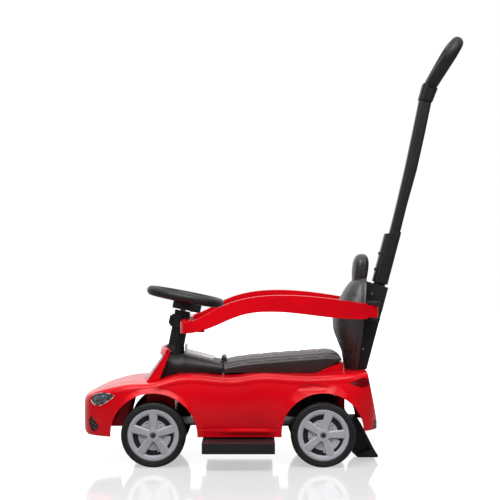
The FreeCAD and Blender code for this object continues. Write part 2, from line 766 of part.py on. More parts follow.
def steering_wheel():
    ring_radius = (WHEEL_RIM_DIAMETER - WHEEL_RIM_TUBE) / 2
    rim = Part.makeTorus(ring_radius, WHEEL_RIM_TUBE / 2)
    hub = upright(0, 0, -10, 6, 31)
    spokes = []
    for angle in (0, 90, -90):
        spoke = box(20, ring_radius, -13, 13, -5, 2)
        spoke = spoke.makeChamfer(2.5, [e for e in spoke.Edges if abs(e.tangentAt(0).x) > 0.9])
        spoke.rotate(V(0, 0, 0), V(0, 0, 1), angle)
        spokes.append(spoke)
    battery_box = round_along(box(-24, 38, -21, 21, -28, -9), V(0, 0, 1), 10)
    solid = fused([rim, hub, battery_box] + spokes)
    solid = solid.cut(upright(0, 0, -31, -6, SHAFT_DIAMETER / 2))
    solid = solid.cut(upright(0, 0, 6 - HORN_TRAVEL - 3, 7, HORN_DIAMETER / 2 + LOOSE_FIT))
    return on_column(solid)


def battery_door():
    return on_column(round_along(box(15, 34, -16, 16, -29.6, -28), V(0, 0, 1), 4))


def horn_button():
    radius = HORN_DIAMETER / 2
    bottom = 6 - HORN_TRAVEL - 3 + HORN_TRAVEL + SEAT_GAP
    outline = [V(0, 0, bottom), V(radius, 0, bottom), V(radius, 0, 7.5), V(radius - 2.5, 0, 9), V(0, 0, 10)]
    return on_column(polygon(outline).revolve(V(0, 0, 0), V(0, 0, 1), 360))


def front_axle_bridge():
    """The red steering box across the nose, with a sleeve for each kingpin and one for the shaft."""
    x0 = FRONT_AXLE_X - 20
    x1 = FRONT_AXLE_X + 42
    half = KINGPIN_Y - 14
    casing = box(x0, x1, -half, half, BRIDGE_BOTTOM, BRIDGE_TOP)
    casing = round_along(casing, V(0, 1, 0), 8)
    casing = casing.cut(box(x0 + 3, x1 - 3, 3 - half, half - 3, BRIDGE_BOTTOM - 1, BRIDGE_TOP - 3))
    pieces = [casing]
    for side in (-1, 1):
        y = side * KINGPIN_Y
        pieces.append(upright(FRONT_AXLE_X, y, BOSS_BOTTOM, BOSS_TOP, KINGPIN_DIAMETER / 2 + 6))
        y0, y1 = sorted((y, side * (half - 3)))
        pieces.append(box(FRONT_AXLE_X - 10, FRONT_AXLE_X + 10, y0, y1, BRIDGE_BOTTOM, BOSS_TOP))
        y0, y1 = sorted((side * 40, side * 56))
        pieces.append(box(x0, x0 + 16, y0, y1, PAN_TOP, BRIDGE_TOP - 3))
        pieces.append(box(x1 - 10, x1, y0, y1, PAN_TOP, BRIDGE_TOP - 3))
    sleeve_top = column_drop(BRIDGE_TOP - 1)
    sleeve = steering_axis_rod(SHAFT_DIAMETER / 2 + 5, sleeve_top, column_drop(BRIDGE_BOTTOM + 2))
    solid = fused(pieces + [sleeve])
    for side in (-1, 1):
        bore = upright(FRONT_AXLE_X, side * KINGPIN_Y, 0, 300, KINGPIN_DIAMETER / 2 + RUNNING_FIT)
        solid = solid.cut(bore)
    return solid.cut(steering_axis_rod(SHAFT_DIAMETER / 2 + RUNNING_FIT, -100, column_drop(0)))


def knuckle():
    """The left steering knuckle: a block on a vertical pin, with a steering arm to the rear."""
    y = -KINGPIN_Y
    outer = -WHEEL_INNER_Y + LOOSE_FIT
    block = box(FRONT_AXLE_X - 13, FRONT_AXLE_X + 13, outer, y + 12, 54, BOSS_BOTTOM - SEAT_GAP)
    block = round_along(block, V(0, 0, 1), 5)
    spindle = upright(FRONT_AXLE_X, y, 80, BOSS_TOP + 5, KINGPIN_DIAMETER / 2)
    head = upright(FRONT_AXLE_X, y, BOSS_TOP + SEAT_GAP, BOSS_TOP + 5, KINGPIN_DIAMETER / 2 + 3)
    arm_top = TIE_ROD_HEIGHT - SEAT_GAP
    arm = box(FRONT_AXLE_X, ARM_PIN_X, y - 7, y + 7, arm_top - 7, arm_top)
    arm_end = upright(ARM_PIN_X, y, arm_top - 7, arm_top, 7)
    pin = upright(ARM_PIN_X, y, arm_top, TIE_ROD_HEIGHT + TIE_ROD_THICKNESS + 3, ARM_PIN_DIAMETER / 2)
    solid = fused([block, spindle, head, arm, arm_end, pin])
    return solid.cut(crosswise(FRONT_AXLE_X, WHEEL_RADIUS, -TRACK_WIDTH, 0, AXLE_DIAMETER / 2))


def axle_nut(y_face, outward):
    """A cap nut whose inner face stands just clear of the wheel's web."""
    start = y_face + outward * SEAT_GAP
    return crosswise(0, 0, start, start + outward * AXLE_NUT_DEPTH, AXLE_NUT_DIAMETER / 2)


WEB_FACE_Y = TRACK_WIDTH / 2 - COVER_DEPTH - 0.5


def stub_axle():
    start = -KINGPIN_Y + 12
    end = -WEB_FACE_Y - SEAT_GAP
    pin = crosswise(FRONT_AXLE_X, WHEEL_RADIUS, start, end, AXLE_DIAMETER / 2)
    nut = axle_nut(-WEB_FACE_Y, -1)
    nut.translate(V(FRONT_AXLE_X, 0, WHEEL_RADIUS))
    return fused([pin, nut])


def tie_rod():
    low = TIE_ROD_HEIGHT
    high = low + TIE_ROD_THICKNESS
    bar = box(ARM_PIN_X - 7, ARM_PIN_X + 7, -KINGPIN_Y, KINGPIN_Y, low, high)
    ends = [upright(ARM_PIN_X, side * KINGPIN_Y, low, high, 9) for side in (-1, 1)]
    middle_x = crank_pin_x((low + high) / 2)
    plate = round_along(box(middle_x - 13, middle_x + 13, -14, 14, low, high), V(0, 0, 1), 6)
    solid = fused([bar, plate] + ends)
    for side in (-1, 1):
        solid = solid.cut(upright(ARM_PIN_X, side * KINGPIN_Y, low, high, ARM_PIN_DIAMETER / 2 + 0.25))
    return solid.cut(box(middle_x - 7, middle_x + 7, -4.2, 4.2, low, high))


# Chassis
BEARING_Y = 69.0
BEARING_WIDTH = 14.0
PAN_FRONT_X = -356.0
PAN_MID_X0 = FRONT_AXLE_X + FRONT_ARCH_RADIUS + 4
PAN_MID_X1 = REAR_AXLE_X - REAR_ARCH_RADIUS - 4
PAN_END_X = 160.0
TONGUE_MARGIN = 15.0
NECK_TOP = 65.0
TONGUE_TOP = 73.0
TONGUE_INNER_Y = 72.0
TONGUE_OUTER_Y = BODY_WIDTH / 2 - 18.0


def chassis_pan():
    spine_half = PAN_SPINE_WIDTH / 2
    spine = box(PAN_FRONT_X, PAN_MID_X0 + 10, -spine_half, spine_half, PAN_BOTTOM, PAN_TOP)
    floor = box(PAN_MID_X0, PAN_MID_X1, -PAN_WIDTH / 2, PAN_WIDTH / 2, PAN_BOTTOM, PAN_TOP)
    rear = box(PAN_MID_X1 - 10, PAN_END_X, -PAN_REAR_WIDTH / 2, PAN_REAR_WIDTH / 2, PAN_BOTTOM, PAN_TOP)
    pieces = [spine, floor, rear]
    for side in (-1, 1):
        y0 = side * BEARING_Y - BEARING_WIDTH / 2
        y1 = side * BEARING_Y + BEARING_WIDTH / 2
        pieces.append(box(REAR_AXLE_X - 12, REAR_AXLE_X + 12, y0, y1, WHEEL_RADIUS, PAN_BOTTOM + 1))
        pieces.append(crosswise(REAR_AXLE_X, WHEEL_RADIUS, y0, y1, 12))
    low = NECK_TOP - 3.5
    for x_edge, inward in ((FOOTREST_X0 + TONGUE_MARGIN, 1), (FOOTREST_X1 - TONGUE_MARGIN, -1)):
        wall = x_edge - inward * (SEAT_GAP + 3)
        lip = x_edge + inward * 6
        for side in (-1, 1):
            y0, y1 = sorted((side * 12, side * (PAN_WIDTH / 2)))
            x0, x1 = sorted((wall, wall + inward * 3))
            pieces.append(box(x0, x1, y0, y1, low, PAN_BOTTOM + 1))
            x0, x1 = sorted((wall, lip))
            pieces.append(box(x0, x1, y0, y1, low, NECK_TOP - SEAT_GAP))
    solid = fused(pieces)
    window_x = crank_pin_x(PAN_TOP)
    window = box(window_x - 15, window_x + 13, -25, 25, PAN_BOTTOM - 1, PAN_TOP + 1)
    solid = solid.cut(round_along(window, V(0, 0, 1), 5))
    return solid.cut(crosswise(REAR_AXLE_X, WHEEL_RADIUS, -200, 200, AXLE_DIAMETER / 2))


def chassis_screws():
    """Pan-head screws up through the pan into the body's posts."""
    heads = []
    for x, y in POST_PLACES:
        for side in (-1, 1):
            heads.append(upright(x, side * y, PAN_BOTTOM - 2.5, PAN_BOTTOM, 4.5))
    return Part.makeCompound(heads)


def rear_axle():
    reach = WEB_FACE_Y + SEAT_GAP
    return crosswise(REAR_AXLE_X, WHEEL_RADIUS, -reach, reach, AXLE_DIAMETER / 2)


def rear_axle_nuts():
    nut = axle_nut(-WEB_FACE_Y, -1)
    nut.translate(V(REAR_AXLE_X, 0, WHEEL_RADIUS))
    return both_sides(nut)


def footrest():
    """The left pull-out step, on a tongue that runs between the pan and its guide lips."""
    outer = -FOOTREST_OUTER_Y
    top = FOOTREST_BOTTOM + FOOTREST_THICKNESS
    slab = box(FOOTREST_X0, FOOTREST_X1, outer, outer + FOOTREST_DEPTH, FOOTREST_BOTTOM, top)
    slab = round_along(slab, V(0, 0, 1), 6)
    inner = outer + FOOTREST_DEPTH
    wall = 4
    hollow = box(FOOTREST_X0 + wall, FOOTREST_X1 - wall, outer + wall, inner - wall, 0, top - wall)
    slab = slab.cut(hollow)
    x0 = FOOTREST_X0 + TONGUE_MARGIN
    x1 = FOOTREST_X1 - TONGUE_MARGIN
    neck = box(x0 + 7, x1 - 7, -TONGUE_OUTER_Y, outer + FOOTREST_DEPTH, top - 4, NECK_TOP + 1)
    tongue = box(x0, x1, -TONGUE_OUTER_Y, -TONGUE_INNER_Y, NECK_TOP, TONGUE_TOP)
    ridges = []
    count = 9
    pitch = (FOOTREST_X1 - FOOTREST_X0 - 24) / (count - 1)
    for number in range(count):
        x = FOOTREST_X0 + 12 + pitch * number
        ridges.append(box(x - 1.5, x + 1.5, outer + 6, -BODY_WIDTH / 2 - 4, top, top + 1))
    return fused([slab, neck, tongue] + ridges)


def anti_tip_stand():
    half = STAND_WIDTH / 2
    low = STAND_CLEARANCE
    x = PAN_END_X + SEAT_GAP
    outline = [(x, 50), (x, 89), (x + 25, 89), (x + 31, 79), (x + 62, 18), (x + 67, 12)]
    outline += [(x + 67, low), (x + 23, low), (x + 11, 18)]
    wedge = round_along(side_plate(outline, -half, half), V(0, 1, 0), 1.5)
    side_pocket = [(x + 6, 52), (x + 6, 70), (x + 26, 74), (x + 50, 24), (x + 26, 15), (x + 17, 22)]
    for y0, y1 in ((-half, 12 - half), (half - 12, half)):
        wedge = wedge.cut(side_plate(side_pocket, y0, y1))
    hook = box(x - 24, x + 3, 12 - half, half - 12, PAN_TOP, PAN_TOP + 5)
    return fused([wedge, hook])


# Storage bin and seat
BIN_MID_X = (SEAT_FRONT_X + DECK_END_X) / 2


def bin_block(grow, z0, z1):
    half_length = BIN_LENGTH / 2 + grow
    half_width = BIN_WIDTH / 2 + grow
    block = box(BIN_MID_X - half_length, BIN_MID_X + half_length, -half_width, half_width, z0, z1)
    return round_along(block, V(0, 0, 1), 12 + grow)


def storage_bin():
    tub = bin_block(0, DECK_HEIGHT - BIN_DEPTH, DECK_HEIGHT + FLANGE_THICKNESS)
    flange = bin_block(5, DECK_HEIGHT, DECK_HEIGHT + FLANGE_THICKNESS)
    hollow = bin_block(-BIN_WALL, DECK_HEIGHT - BIN_DEPTH + BIN_WALL, DECK_HEIGHT + 20)
    return tub.fuse(flange).removeSplitter().cut(hollow)


SEAT_FRONT_HEIGHT = DECK_HEIGHT + 20.0
SEAT_SHOULDER = 7.5
SEAT_REAR_HEIGHT = SEAT_HINGE_HEIGHT + SEAT_BARREL_RADIUS
SEAT_BOTTOM = DECK_HEIGHT + SEAT_GAP
SEAT_TAIL_X = SEAT_SLOPE[2][0] + 3
SEAT_CHANNELS = 5
CHANNEL_DEPTH = 1.8
SEAT_EDGE = 12.0
SEAT_CROWN = 0.8
TAB_RADIUS = 6.0
TAB_HALF_WIDTH = 28.0


def seat_top(x):
    share = (x - SEAT_FRONT_X) / (SEAT_HINGE_X - SEAT_FRONT_X)
    nose = SEAT_SHOULDER * (1 - math.exp(-share * 9))
    return SEAT_FRONT_HEIGHT + nose + (SEAT_REAR_HEIGHT - SEAT_FRONT_HEIGHT - SEAT_SHOULDER) * share


def seat_cells():
    """The seat's long profile, across its width: padded cells between sewn channels, flat below."""
    pitch = (SEAT_TAIL_X - SEAT_FRONT_X) / (SEAT_CHANNELS + 0.6)
    seams = [SEAT_FRONT_X + pitch * (number + 1) for number in range(SEAT_CHANNELS)]
    stops = [SEAT_FRONT_X] + seams + [SEAT_TAIL_X]
    edges = []
    for start, end in zip(stops, stops[1:]):
        points = []
        for x, drop in ((start, CHANNEL_DEPTH), ((start + end) / 2, 0), (end, CHANNEL_DEPTH)):
            points.append(V(x, -SEAT_WIDTH / 2, seat_top(x) - drop))
        edges.append(arc(*points))
    gap = 2 * SEAT_GAP
    (deck_x, deck_z), (bend_x, bend_z), (fairing_x, fairing_z) = SEAT_SLOPE
    steepness = (fairing_z - bend_z) / (fairing_x - bend_x)
    tail_z = bend_z + steepness * (SEAT_TAIL_X - bend_x) + gap
    corners = [(SEAT_TAIL_X, tail_z), (bend_x, bend_z + gap)]
    corners += [(deck_x, SEAT_BOTTOM), (SEAT_FRONT_X, SEAT_BOTTOM)]
    run = [points[2]] + [V(x, -SEAT_WIDTH / 2, z) for x, z in corners]
    run.append(V(SEAT_FRONT_X, -SEAT_WIDTH / 2, seat_top(SEAT_FRONT_X) - CHANNEL_DEPTH))
    edges += [line(start, end) for start, end in zip(run, run[1:])]
    return Part.Face(Part.Wire(edges)).extrude(V(0, SEAT_WIDTH, 0))


def seat_crown():
    """The seat seen from its front, run along its slope: upright sides that turn into a crowned top."""
    half = SEAT_WIDTH / 2
    rise = (SEAT_REAR_HEIGHT - SEAT_FRONT_HEIGHT - SEAT_SHOULDER) / (SEAT_HINGE_X - SEAT_FRONT_X)
    x = SEAT_FRONT_X - SEAT_EDGE
    high = SEAT_FRONT_HEIGHT + SEAT_SHOULDER - rise * SEAT_EDGE + SEAT_GAP
    low = SEAT_BOTTOM - SEAT_EDGE
    bend = SEAT_EDGE * (1 - math.sqrt(0.5))
    corners = []
    for side in (1, -1):
        start = V(x, side * half, high - SEAT_EDGE)
        middle = V(x, side * (half - bend), high - bend - SEAT_CROWN / 2)
        corners.append([start, middle, V(x, side * (half - SEAT_EDGE), high - SEAT_CROWN)])
    right, left = corners
    edges = [line(V(x, half, low), right[0]), arc(*right), arc(right[2], V(x, 0, high), left[2])]
    edges += [arc(left[2], left[1], left[0]), line(left[0], V(x, -half, low))]
    edges.append(line(V(x, -half, low), V(x, half, low)))
    run = SEAT_TAIL_X + SEAT_EDGE - x
    crown = Part.Face(Part.Wire(edges)).extrude(V(run, 0, rise * run))
    return crown.fuse(box(x, x + run, -half, half, low, low + 1))


def seat_lid():
    """The padded-look lid: sewn cross channels, a finger tab in front and a hinge barrel behind."""
    pad = seat_cells().common(seat_crown())
    hollow_half = SEAT_WIDTH / 2 - SEAT_WALL - SEAT_EDGE / 2
    hollow_start = SEAT_FRONT_X + SEAT_WALL
    hollow_end = DECK_END_X - SEAT_WALL
    roof = [(hollow_start, seat_top(SEAT_FRONT_X) - SEAT_WALL - CHANNEL_DEPTH - 1)]
    for share in (0.06, 0.2, 0.5, 1.0):
        x = hollow_start + (hollow_end - hollow_start) * share
        roof.append((x, seat_top(x) - SEAT_WALL - CHANNEL_DEPTH))
    outline = [(hollow_start, SEAT_BOTTOM - 5)] + roof + [(hollow_end, SEAT_BOTTOM - 5)]
    hollow = side_plate(outline, -hollow_half, hollow_half)
    half_barrel = SEAT_WIDTH / 2 - 2
    barrel = crosswise(SEAT_HINGE_X, SEAT_HINGE_HEIGHT, -half_barrel, half_barrel, SEAT_BARREL_RADIUS)
    barrel = barrel.makeChamfer(3, [e for e in barrel.Edges if isinstance(e.Curve, Part.Circle)])
    tab_height = SEAT_FRONT_HEIGHT + TAB_RADIUS + 1
    tab = crosswise(SEAT_FRONT_X, tab_height, -TAB_HALF_WIDTH, TAB_HALF_WIDTH, TAB_RADIUS)
    tab = tab.makeChamfer(2, [e for e in tab.Edges if isinstance(e.Curve, Part.Circle)])
    root_half = TAB_HALF_WIDTH - 4
    root_low = SEAT_FRONT_HEIGHT - 4
    tab_root = box(SEAT_FRONT_X + 1, SEAT_FRONT_X + 14, -root_half, root_half, root_low, tab_height - 2)
    solid = fused([pad.cut(hollow), barrel, tab, tab_root])
    for side in (-1, 1):
        y0 = side * LUG_Y - LUG_WIDTH / 2 - LOOSE_FIT
        y1 = side * LUG_Y + LUG_WIDTH / 2 + LOOSE_FIT
        solid = solid.cut(crosswise(SEAT_HINGE_X, SEAT_HINGE_HEIGHT, y0, y1, SEAT_BARREL_RADIUS + 1))
        solid = solid.cut(box(SEAT_HINGE_X - 10, SEAT_HINGE_X + 20, y0, y1, DECK_HEIGHT, SEAT_HINGE_HEIGHT))
    bore = HINGE_PIN_DIAMETER / 2 + RUNNING_FIT
    reach = HINGE_PIN_LENGTH / 2 + LOOSE_FIT
    return solid.cut(crosswise(SEAT_HINGE_X, SEAT_HINGE_HEIGHT, -reach, reach, bore))


def seat_hinge_pin():
    half = HINGE_PIN_LENGTH / 2
    return crosswise(SEAT_HINGE_X, SEAT_HINGE_HEIGHT, -half, half, HINGE_PIN_DIAMETER / 2)


# Dash console
CONSOLE_END_X = SEAT_FRONT_X - 1.5
CONSOLE_END_HEIGHT = SEAT_FRONT_HEIGHT - 1.5
CONSOLE_SLOPE_X = -193.0
CONSOLE_SLOPE_HEIGHT = CONSOLE_TOP + 2.0
CONSOLE_FOOT = HOOD_HEIGHT - 12.0
CONSOLE_EDGE = 28.0
CONSOLE_END_EDGE = 13.0
TRIM_THICKNESS = 6.0
TRIM_HALF_WIDTH = 38.0
TRIM_LENGTH = 62.0
UPSTAND_HALF_WIDTH = 24.0
UPSTAND_TOP = CONSOLE_TOP + 20.0
UPSTAND_THICKNESS = 4.0


def windshield_back_x(height):
    foot = WINDSHIELD_BASE_X + (WINDSHIELD_THICKNESS + WINDSHIELD_SAG) / RAKE_COS
    return foot + (height - WINDSHIELD_BASE_HEIGHT) * RAKE_TAN


def console_section(x, top, edge):
    """The console's outline across the car: upright sides that round over into a flat top."""
    half = CONSOLE_WIDTH / 2
    bend = edge * (1 - math.sqrt(0.5))
    corners = []
    for side in (1, -1):
        start = V(x, side * half, top - edge)
        middle = V(x, side * (half - bend), top - bend)
        corners.append((start, middle, V(x, side * (half - edge), top)))
    right, left = corners
    right_foot = V(x, half, CONSOLE_FOOT)
    left_foot = V(x, -half, CONSOLE_FOOT)
    edges = [line(right_foot, right[0]), arc(*right), line(right[2], left[2])]
    edges += [arc(left[2], left[1], left[0]), line(left[0], left_foot), line(left_foot, right_foot)]
    return Part.Wire(edges)


def dash_console():
    """The black dash: it fills the space from the windshield to the seat and follows the cowl below."""
    front = windshield_back_x(CONSOLE_FOOT)
    rows = [(front, CONSOLE_TOP, CONSOLE_EDGE), (CONSOLE_SLOPE_X - 8, CONSOLE_TOP, CONSOLE_EDGE)]
    rows += [(CONSOLE_SLOPE_X, CONSOLE_SLOPE_HEIGHT, CONSOLE_EDGE)]
    rows += [(CONSOLE_END_X, CONSOLE_END_HEIGHT, CONSOLE_END_EDGE)]
    block = Part.makeLoft([console_section(*row) for row in rows], True, True)
    gap = SEAT_GAP / RAKE_COS
    high = CONSOLE_TOP + 30
    low = CONSOLE_FOOT - 5
    ahead = [(windshield_back_x(low) + gap, low), (windshield_back_x(high) + gap, high)]
    ahead += [(NOSE_X, high), (NOSE_X, low)]
    block = block.cut(side_plate(ahead, -CONSOLE_WIDTH, CONSOLE_WIDTH))
    front_zone = box(NOSE_X, DECK_FLAT_X, -CONSOLE_WIDTH, CONSOLE_WIDTH, 0, 300)
    cowl = front_zone.common(hull(-SEAT_GAP, SILL_HEIGHT))
    block = block.cut(cowl)
    block = block.cut(box(DECK_FLAT_X - 1, SEAT_FRONT_X, -BODY_WIDTH, BODY_WIDTH, 0, DECK_HEIGHT))
    return block.cut(steering_axis_rod(COLUMN_DIAMETER / 2 + SEAT_GAP, 0, -220))


def console_trim(console):
    """The silver panel on the console's slope, with a short upstand behind the column."""
    run = V(CONSOLE_END_X - CONSOLE_SLOPE_X, 0, CONSOLE_END_HEIGHT - CONSOLE_SLOPE_HEIGHT).normalize()
    up = V(-run.z, 0, run.x)
    start = V(CONSOLE_SLOPE_X, -TRIM_HALF_WIDTH, CONSOLE_SLOPE_HEIGHT) + run * 4
    end = start + run * TRIM_LENGTH
    face = polygon([start, end, end + up * TRIM_THICKNESS, start + up * TRIM_THICKNESS])
    panel = face.extrude(V(0, 2 * TRIM_HALF_WIDTH, 0))
    upper = (start + up * (TRIM_THICKNESS - 0.1)).dot(up)
    panel = panel.makeChamfer(1.5, [e for e in panel.Edges if e.CenterOfMass.dot(up) > upper])
    wall_x = CONSOLE_SLOPE_X + 1.5
    low = CONSOLE_SLOPE_HEIGHT - 2
    half = UPSTAND_HALF_WIDTH
    upstand = box(wall_x, wall_x + UPSTAND_THICKNESS, -half, half, low, UPSTAND_TOP)
    upstand = round_along(upstand, V(1, 0, 0), 4)
    bridge = box(wall_x, start.x + 4, -half, half, low, start.z + 4)
    return fused([panel, upstand, bridge]).cut(console)


# Backrest
LEAN_TAN = math.tan(math.radians(BACKREST_LEAN))
CUSHION_TOP = 395.0


def backrest_back_x(height):
    return BACKREST_BASE_X + (height - BACKREST_BASE_HEIGHT) * LEAN_TAN


CUSHION_SECTIONS = [
    (BACKREST_BASE_HEIGHT, 158.0, 60.0),
    (236.0, 151.0, 72.0),
    (268.0, 138.0, 84.0),
    (296.0, 132.0, 90.0),
    (328.0, 138.0, 90.0),
    (360.0, 154.0, 80.0),
    (384.0, 171.0, 66.0),
    (CUSHION_TOP, 186.0, 52.0),
]


def cushion_section(height, front, half):
    back = backrest_back_x(height)
    depth = back - front
    corners = []
    for side in (1, -1):
        shoulder = V(front + depth * 0.14, side * half * 0.66, height)
        flank = V(front + depth * 0.42, side * half * 0.95, height)
        corners.append((V(back, side * half, height), flank, shoulder))
    right, left = corners
    edges = [arc(*right), arc(right[2], V(front, 0, height), left[2])]
    edges += [arc(left[2], left[1], left[0]), line(left[0], right[0])]
    return Part.Wire(edges)


def backrest_cushion():
    return Part.makeLoft([cushion_section(*row) for row in CUSHION_SECTIONS], True, True)


HEADREST_HEIGHT = 52.0
HEADREST_DEPTH = 32.0
HEADREST_WIDTH = 92.0
HEADREST_SECTIONS = [
    (0.0, 0.62), (0.08, 0.80), (0.22, 0.94), (0.5, 1.0), (0.78, 0.94), (0.92, 0.78), (1.0, 0.46),
]


def headrest():
    """A rounded pad that stands on the backrest's top and narrows to its foot and its crown."""
    low = CUSHION_TOP + SEAT_GAP
    middle_x = backrest_back_x(low) - HEADREST_DEPTH / 2 + 5
    wires = []
    for share, size in HEADREST_SECTIONS:
        centre = V(middle_x + share * HEADREST_HEIGHT * LEAN_TAN, 0, low + share * HEADREST_HEIGHT)
        depth = HEADREST_DEPTH * size
        width = HEADREST_WIDTH * size
        wires.append(rounded_rectangle(centre, V(0, 1, 0), width, V(1, 0, 0), depth, depth * 0.42))
    return Part.makeLoft(wires, True, True)


# Handle: its own frame has the socket's axis along local Z and the sleeve's shoulder at the origin
HANDLE_TAN = math.tan(math.radians(HANDLE_TILT))
HANDLE_COS = math.cos(math.radians(HANDLE_TILT))
HANDLE_SIN = math.sin(math.radians(HANDLE_TILT))
FRAME_HALF_WIDTH = 46.0
FRAME_BASE_DEPTH = 19.0
WING_PLATE = 6.0
WING_REACH = RAIL_PIN_Y + 13.0
WING_X0 = 199.0
SOCKET_DEPTH = TONGUE_LENGTH + 1.0


def on_handle(shape):
    return tilted(shape, HANDLE_TILT, HANDLE_X, HANDLE_HEIGHT)


def tube_block(depth, width, z0, z1, radius, shift=0.0):
    block = box(shift - depth / 2, shift + depth / 2, -width / 2, width / 2, z0, z1)
    return round_along(block, V(0, 0, 1), radius)


def backrest_tongue(grow):
    x0 = BACKREST_BASE_X + 4 - grow
    half = BACKREST_TONGUE_HALF + grow
    return box(x0, x0 + 8 + 2 * grow, -half, half, BACKREST_BASE_HEIGHT - 40, BACKREST_BASE_HEIGHT + 6)


def backrest_frame():
    """The black spine behind the cushion: handle socket, guard rail forks and a tongue into the deck."""
    gap = SEAT_GAP
    rear_top = HANDLE_X + SLEEVE_DEPTH / 2 / HANDLE_COS
    foot = BACKREST_BASE_HEIGHT
    top_front = HANDLE_HEIGHT + 5
    top_rear = HANDLE_HEIGHT - 9
    outline = [(backrest_back_x(foot) + gap, foot), (BACKREST_BASE_X + FRAME_BASE_DEPTH, foot)]
    outline += [(rear_top - (HANDLE_HEIGHT - top_rear) * HANDLE_TAN, top_rear)]
    outline += [(backrest_back_x(top_front) + gap, top_front)]
    spine = side_plate(outline, -FRAME_HALF_WIDTH, FRAME_HALF_WIDTH)
    pieces = [spine, backrest_tongue(0)]
    x1 = RAIL_PIN_X + 13
    for low in (RAIL_EYE_TOP + SEAT_GAP, RAIL_EYE_BOTTOM - SEAT_GAP - WING_PLATE):
        plate = box(WING_X0, x1, -WING_REACH, WING_REACH, low, low + WING_PLATE)
        pieces.append(round_along(plate, V(0, 0, 1), 8))
    for side in (-1, 1):
        y0, y1 = sorted((side * (FRAME_HALF_WIDTH - 2), side * (RAIL_PIN_Y - 18)))
        pieces.append(box(WING_X0 + 4, x1 - 4, y0, y1, RAIL_EYE_BOTTOM - 2, RAIL_EYE_TOP + 2))
    solid = fused(pieces)
    room = 2 * SEAT_GAP
    socket = tube_block(TONGUE_DEPTH + room, TONGUE_WIDTH + room, -SOCKET_DEPTH, 40, 6 + SEAT_GAP)
    solid = solid.cut(on_handle(socket))
    solid = solid.cut(on_handle(box(-60, 60, -100, 100, 0, 60)))
    for side in (-1, 1):
        solid = solid.cut(upright(RAIL_PIN_X, side * RAIL_PIN_Y, 250, 400, RAIL_PIN_DIAMETER / 2))
    return solid


def rail_hinge_pins():
    low = RAIL_EYE_BOTTOM - WING_PLATE
    high = RAIL_EYE_TOP + WING_PLATE
    return both_sides(upright(RAIL_PIN_X, -RAIL_PIN_Y, low, high, RAIL_PIN_DIAMETER / 2))


# Guard rails
TILT_SIN = math.sin(math.radians(COLUMN_TILT))
RAIL_DROP = (RAIL_COLLAR_TOP + RAIL_COLLAR_BOTTOM) / 2
RAIL_FRONT_X = STEERING_WHEEL_X + RAIL_DROP * TILT_SIN + RAIL_SETBACK * TILT_COS
RAIL_FRONT_HEIGHT = STEERING_WHEEL_HEIGHT + RAIL_DROP * TILT_COS - RAIL_SETBACK * TILT_SIN
RAIL_CORNER = 46.0
TAB_X = -150.0
TAB_LENGTH = 14.0
TAB_BOTTOM = 286.0
TAB_TRAVEL = 3.0


def rail_side_band():
    """The rail's arch in the side view, from the column to the hinge eye."""
    y = -RAIL_OUTER_Y - 10
    x0 = RAIL_FRONT_X - RAIL_THICKNESS
    x1 = RAIL_PIN_X + 30
    upper = [V(x0, y, RAIL_FRONT_HEIGHT + 12), V(-170, y, 309), V(-120, y, 334)]
    upper += [V(-62, y, 355), V(10, y, 362.5)]
    upper += [V(60, y, 361), V(110, y, 356), V(x1, y, 335)]
    lower = [V(x1, y, 314), V(190, y, 311), V(94, y, 319)]
    lower += [V(0, y, 328.5), V(-70, y, 320.5), V(-122, y, 299)]
    lower += [V(-160, y, 286.5), V(x0, y, RAIL_FRONT_HEIGHT - 12)]
    edges = [spline(upper), line(upper[-1], lower[0]), spline(lower), line(lower[-1], upper[0])]
    return Part.Face(Part.Wire(edges)).extrude(V(0, RAIL_OUTER_Y + 10, 0))


def rail_plan_band():
    """The rail seen from above: out from the column, round the corner and back to the hinge eye."""
    x0 = RAIL_FRONT_X - RAIL_THICKNESS / 2
    start = -RAIL_ARM_END - SEAT_GAP
    end_x = RAIL_PIN_X
    edges = []
    fronts = []
    rears = []
    for inset in (0.0, RAIL_THICKNESS):
        out = inset - RAIL_OUTER_Y
        radius = RAIL_CORNER - inset
        middle = V(x0 + RAIL_CORNER, -RAIL_OUTER_Y + RAIL_CORNER, 0)
        turn_in = middle + V(-radius, 0, 0)
        turn_out = middle + V(0, -radius, 0)
        bend = middle + V(-radius, -radius, 0) * math.sqrt(0.5)
        tail = V(end_x, inset - RAIL_PIN_Y - RAIL_THICKNESS / 2, 0)
        sweep = Part.BSplineCurve()
        mid = [V(turn_out.x + 60, out, 0), V(60, out + 3, 0), V(150, out + 28, 0)]
        sweep.interpolate([turn_out] + mid + [tail])
        edges.append([line(V(turn_in.x, start, 0), turn_in), arc(turn_in, bend, turn_out), sweep.toShape()])
        fronts.append(V(turn_in.x, start, 0))
        rears.append(tail)
    eye = arc(rears[0], V(end_x + RAIL_THICKNESS / 2, -RAIL_PIN_Y, 0), rears[1])
    wire = Part.Wire(Part.__sortEdges__(edges[0] + [eye] + edges[1] + [line(fronts[1], fronts[0])]))
    return Part.Face(wire).extrude(V(0, 0, 500))


def guard_rail():
    rail = rail_side_band().common(rail_plan_band())
    eye_x0 = WING_X0 - 3
    rail = rail.cut(box(eye_x0, 400, -400, 0, RAIL_EYE_TOP, 500))
    rail = rail.cut(box(eye_x0, 400, -400, 0, 0, RAIL_EYE_BOTTOM))
    rail = rail.cut(upright(RAIL_PIN_X, -RAIL_PIN_Y, 0, 500, RAIL_PIN_DIAMETER / 2 + RUNNING_FIT))
    pocket = tab_block(LOOSE_FIT, TAB_TRAVEL + SEAT_GAP)
    return rail.cut(pocket)


def tab_block(grow, deeper):
    y = -RAIL_OUTER_Y + RAIL_THICKNESS / 2
    x0 = TAB_X - TAB_LENGTH / 2 - grow
    low = TAB_BOTTOM
    return box(x0, x0 + TAB_LENGTH + 2 * grow, y - 4 - grow, y + 4 + grow, low, low + 15 + deeper)


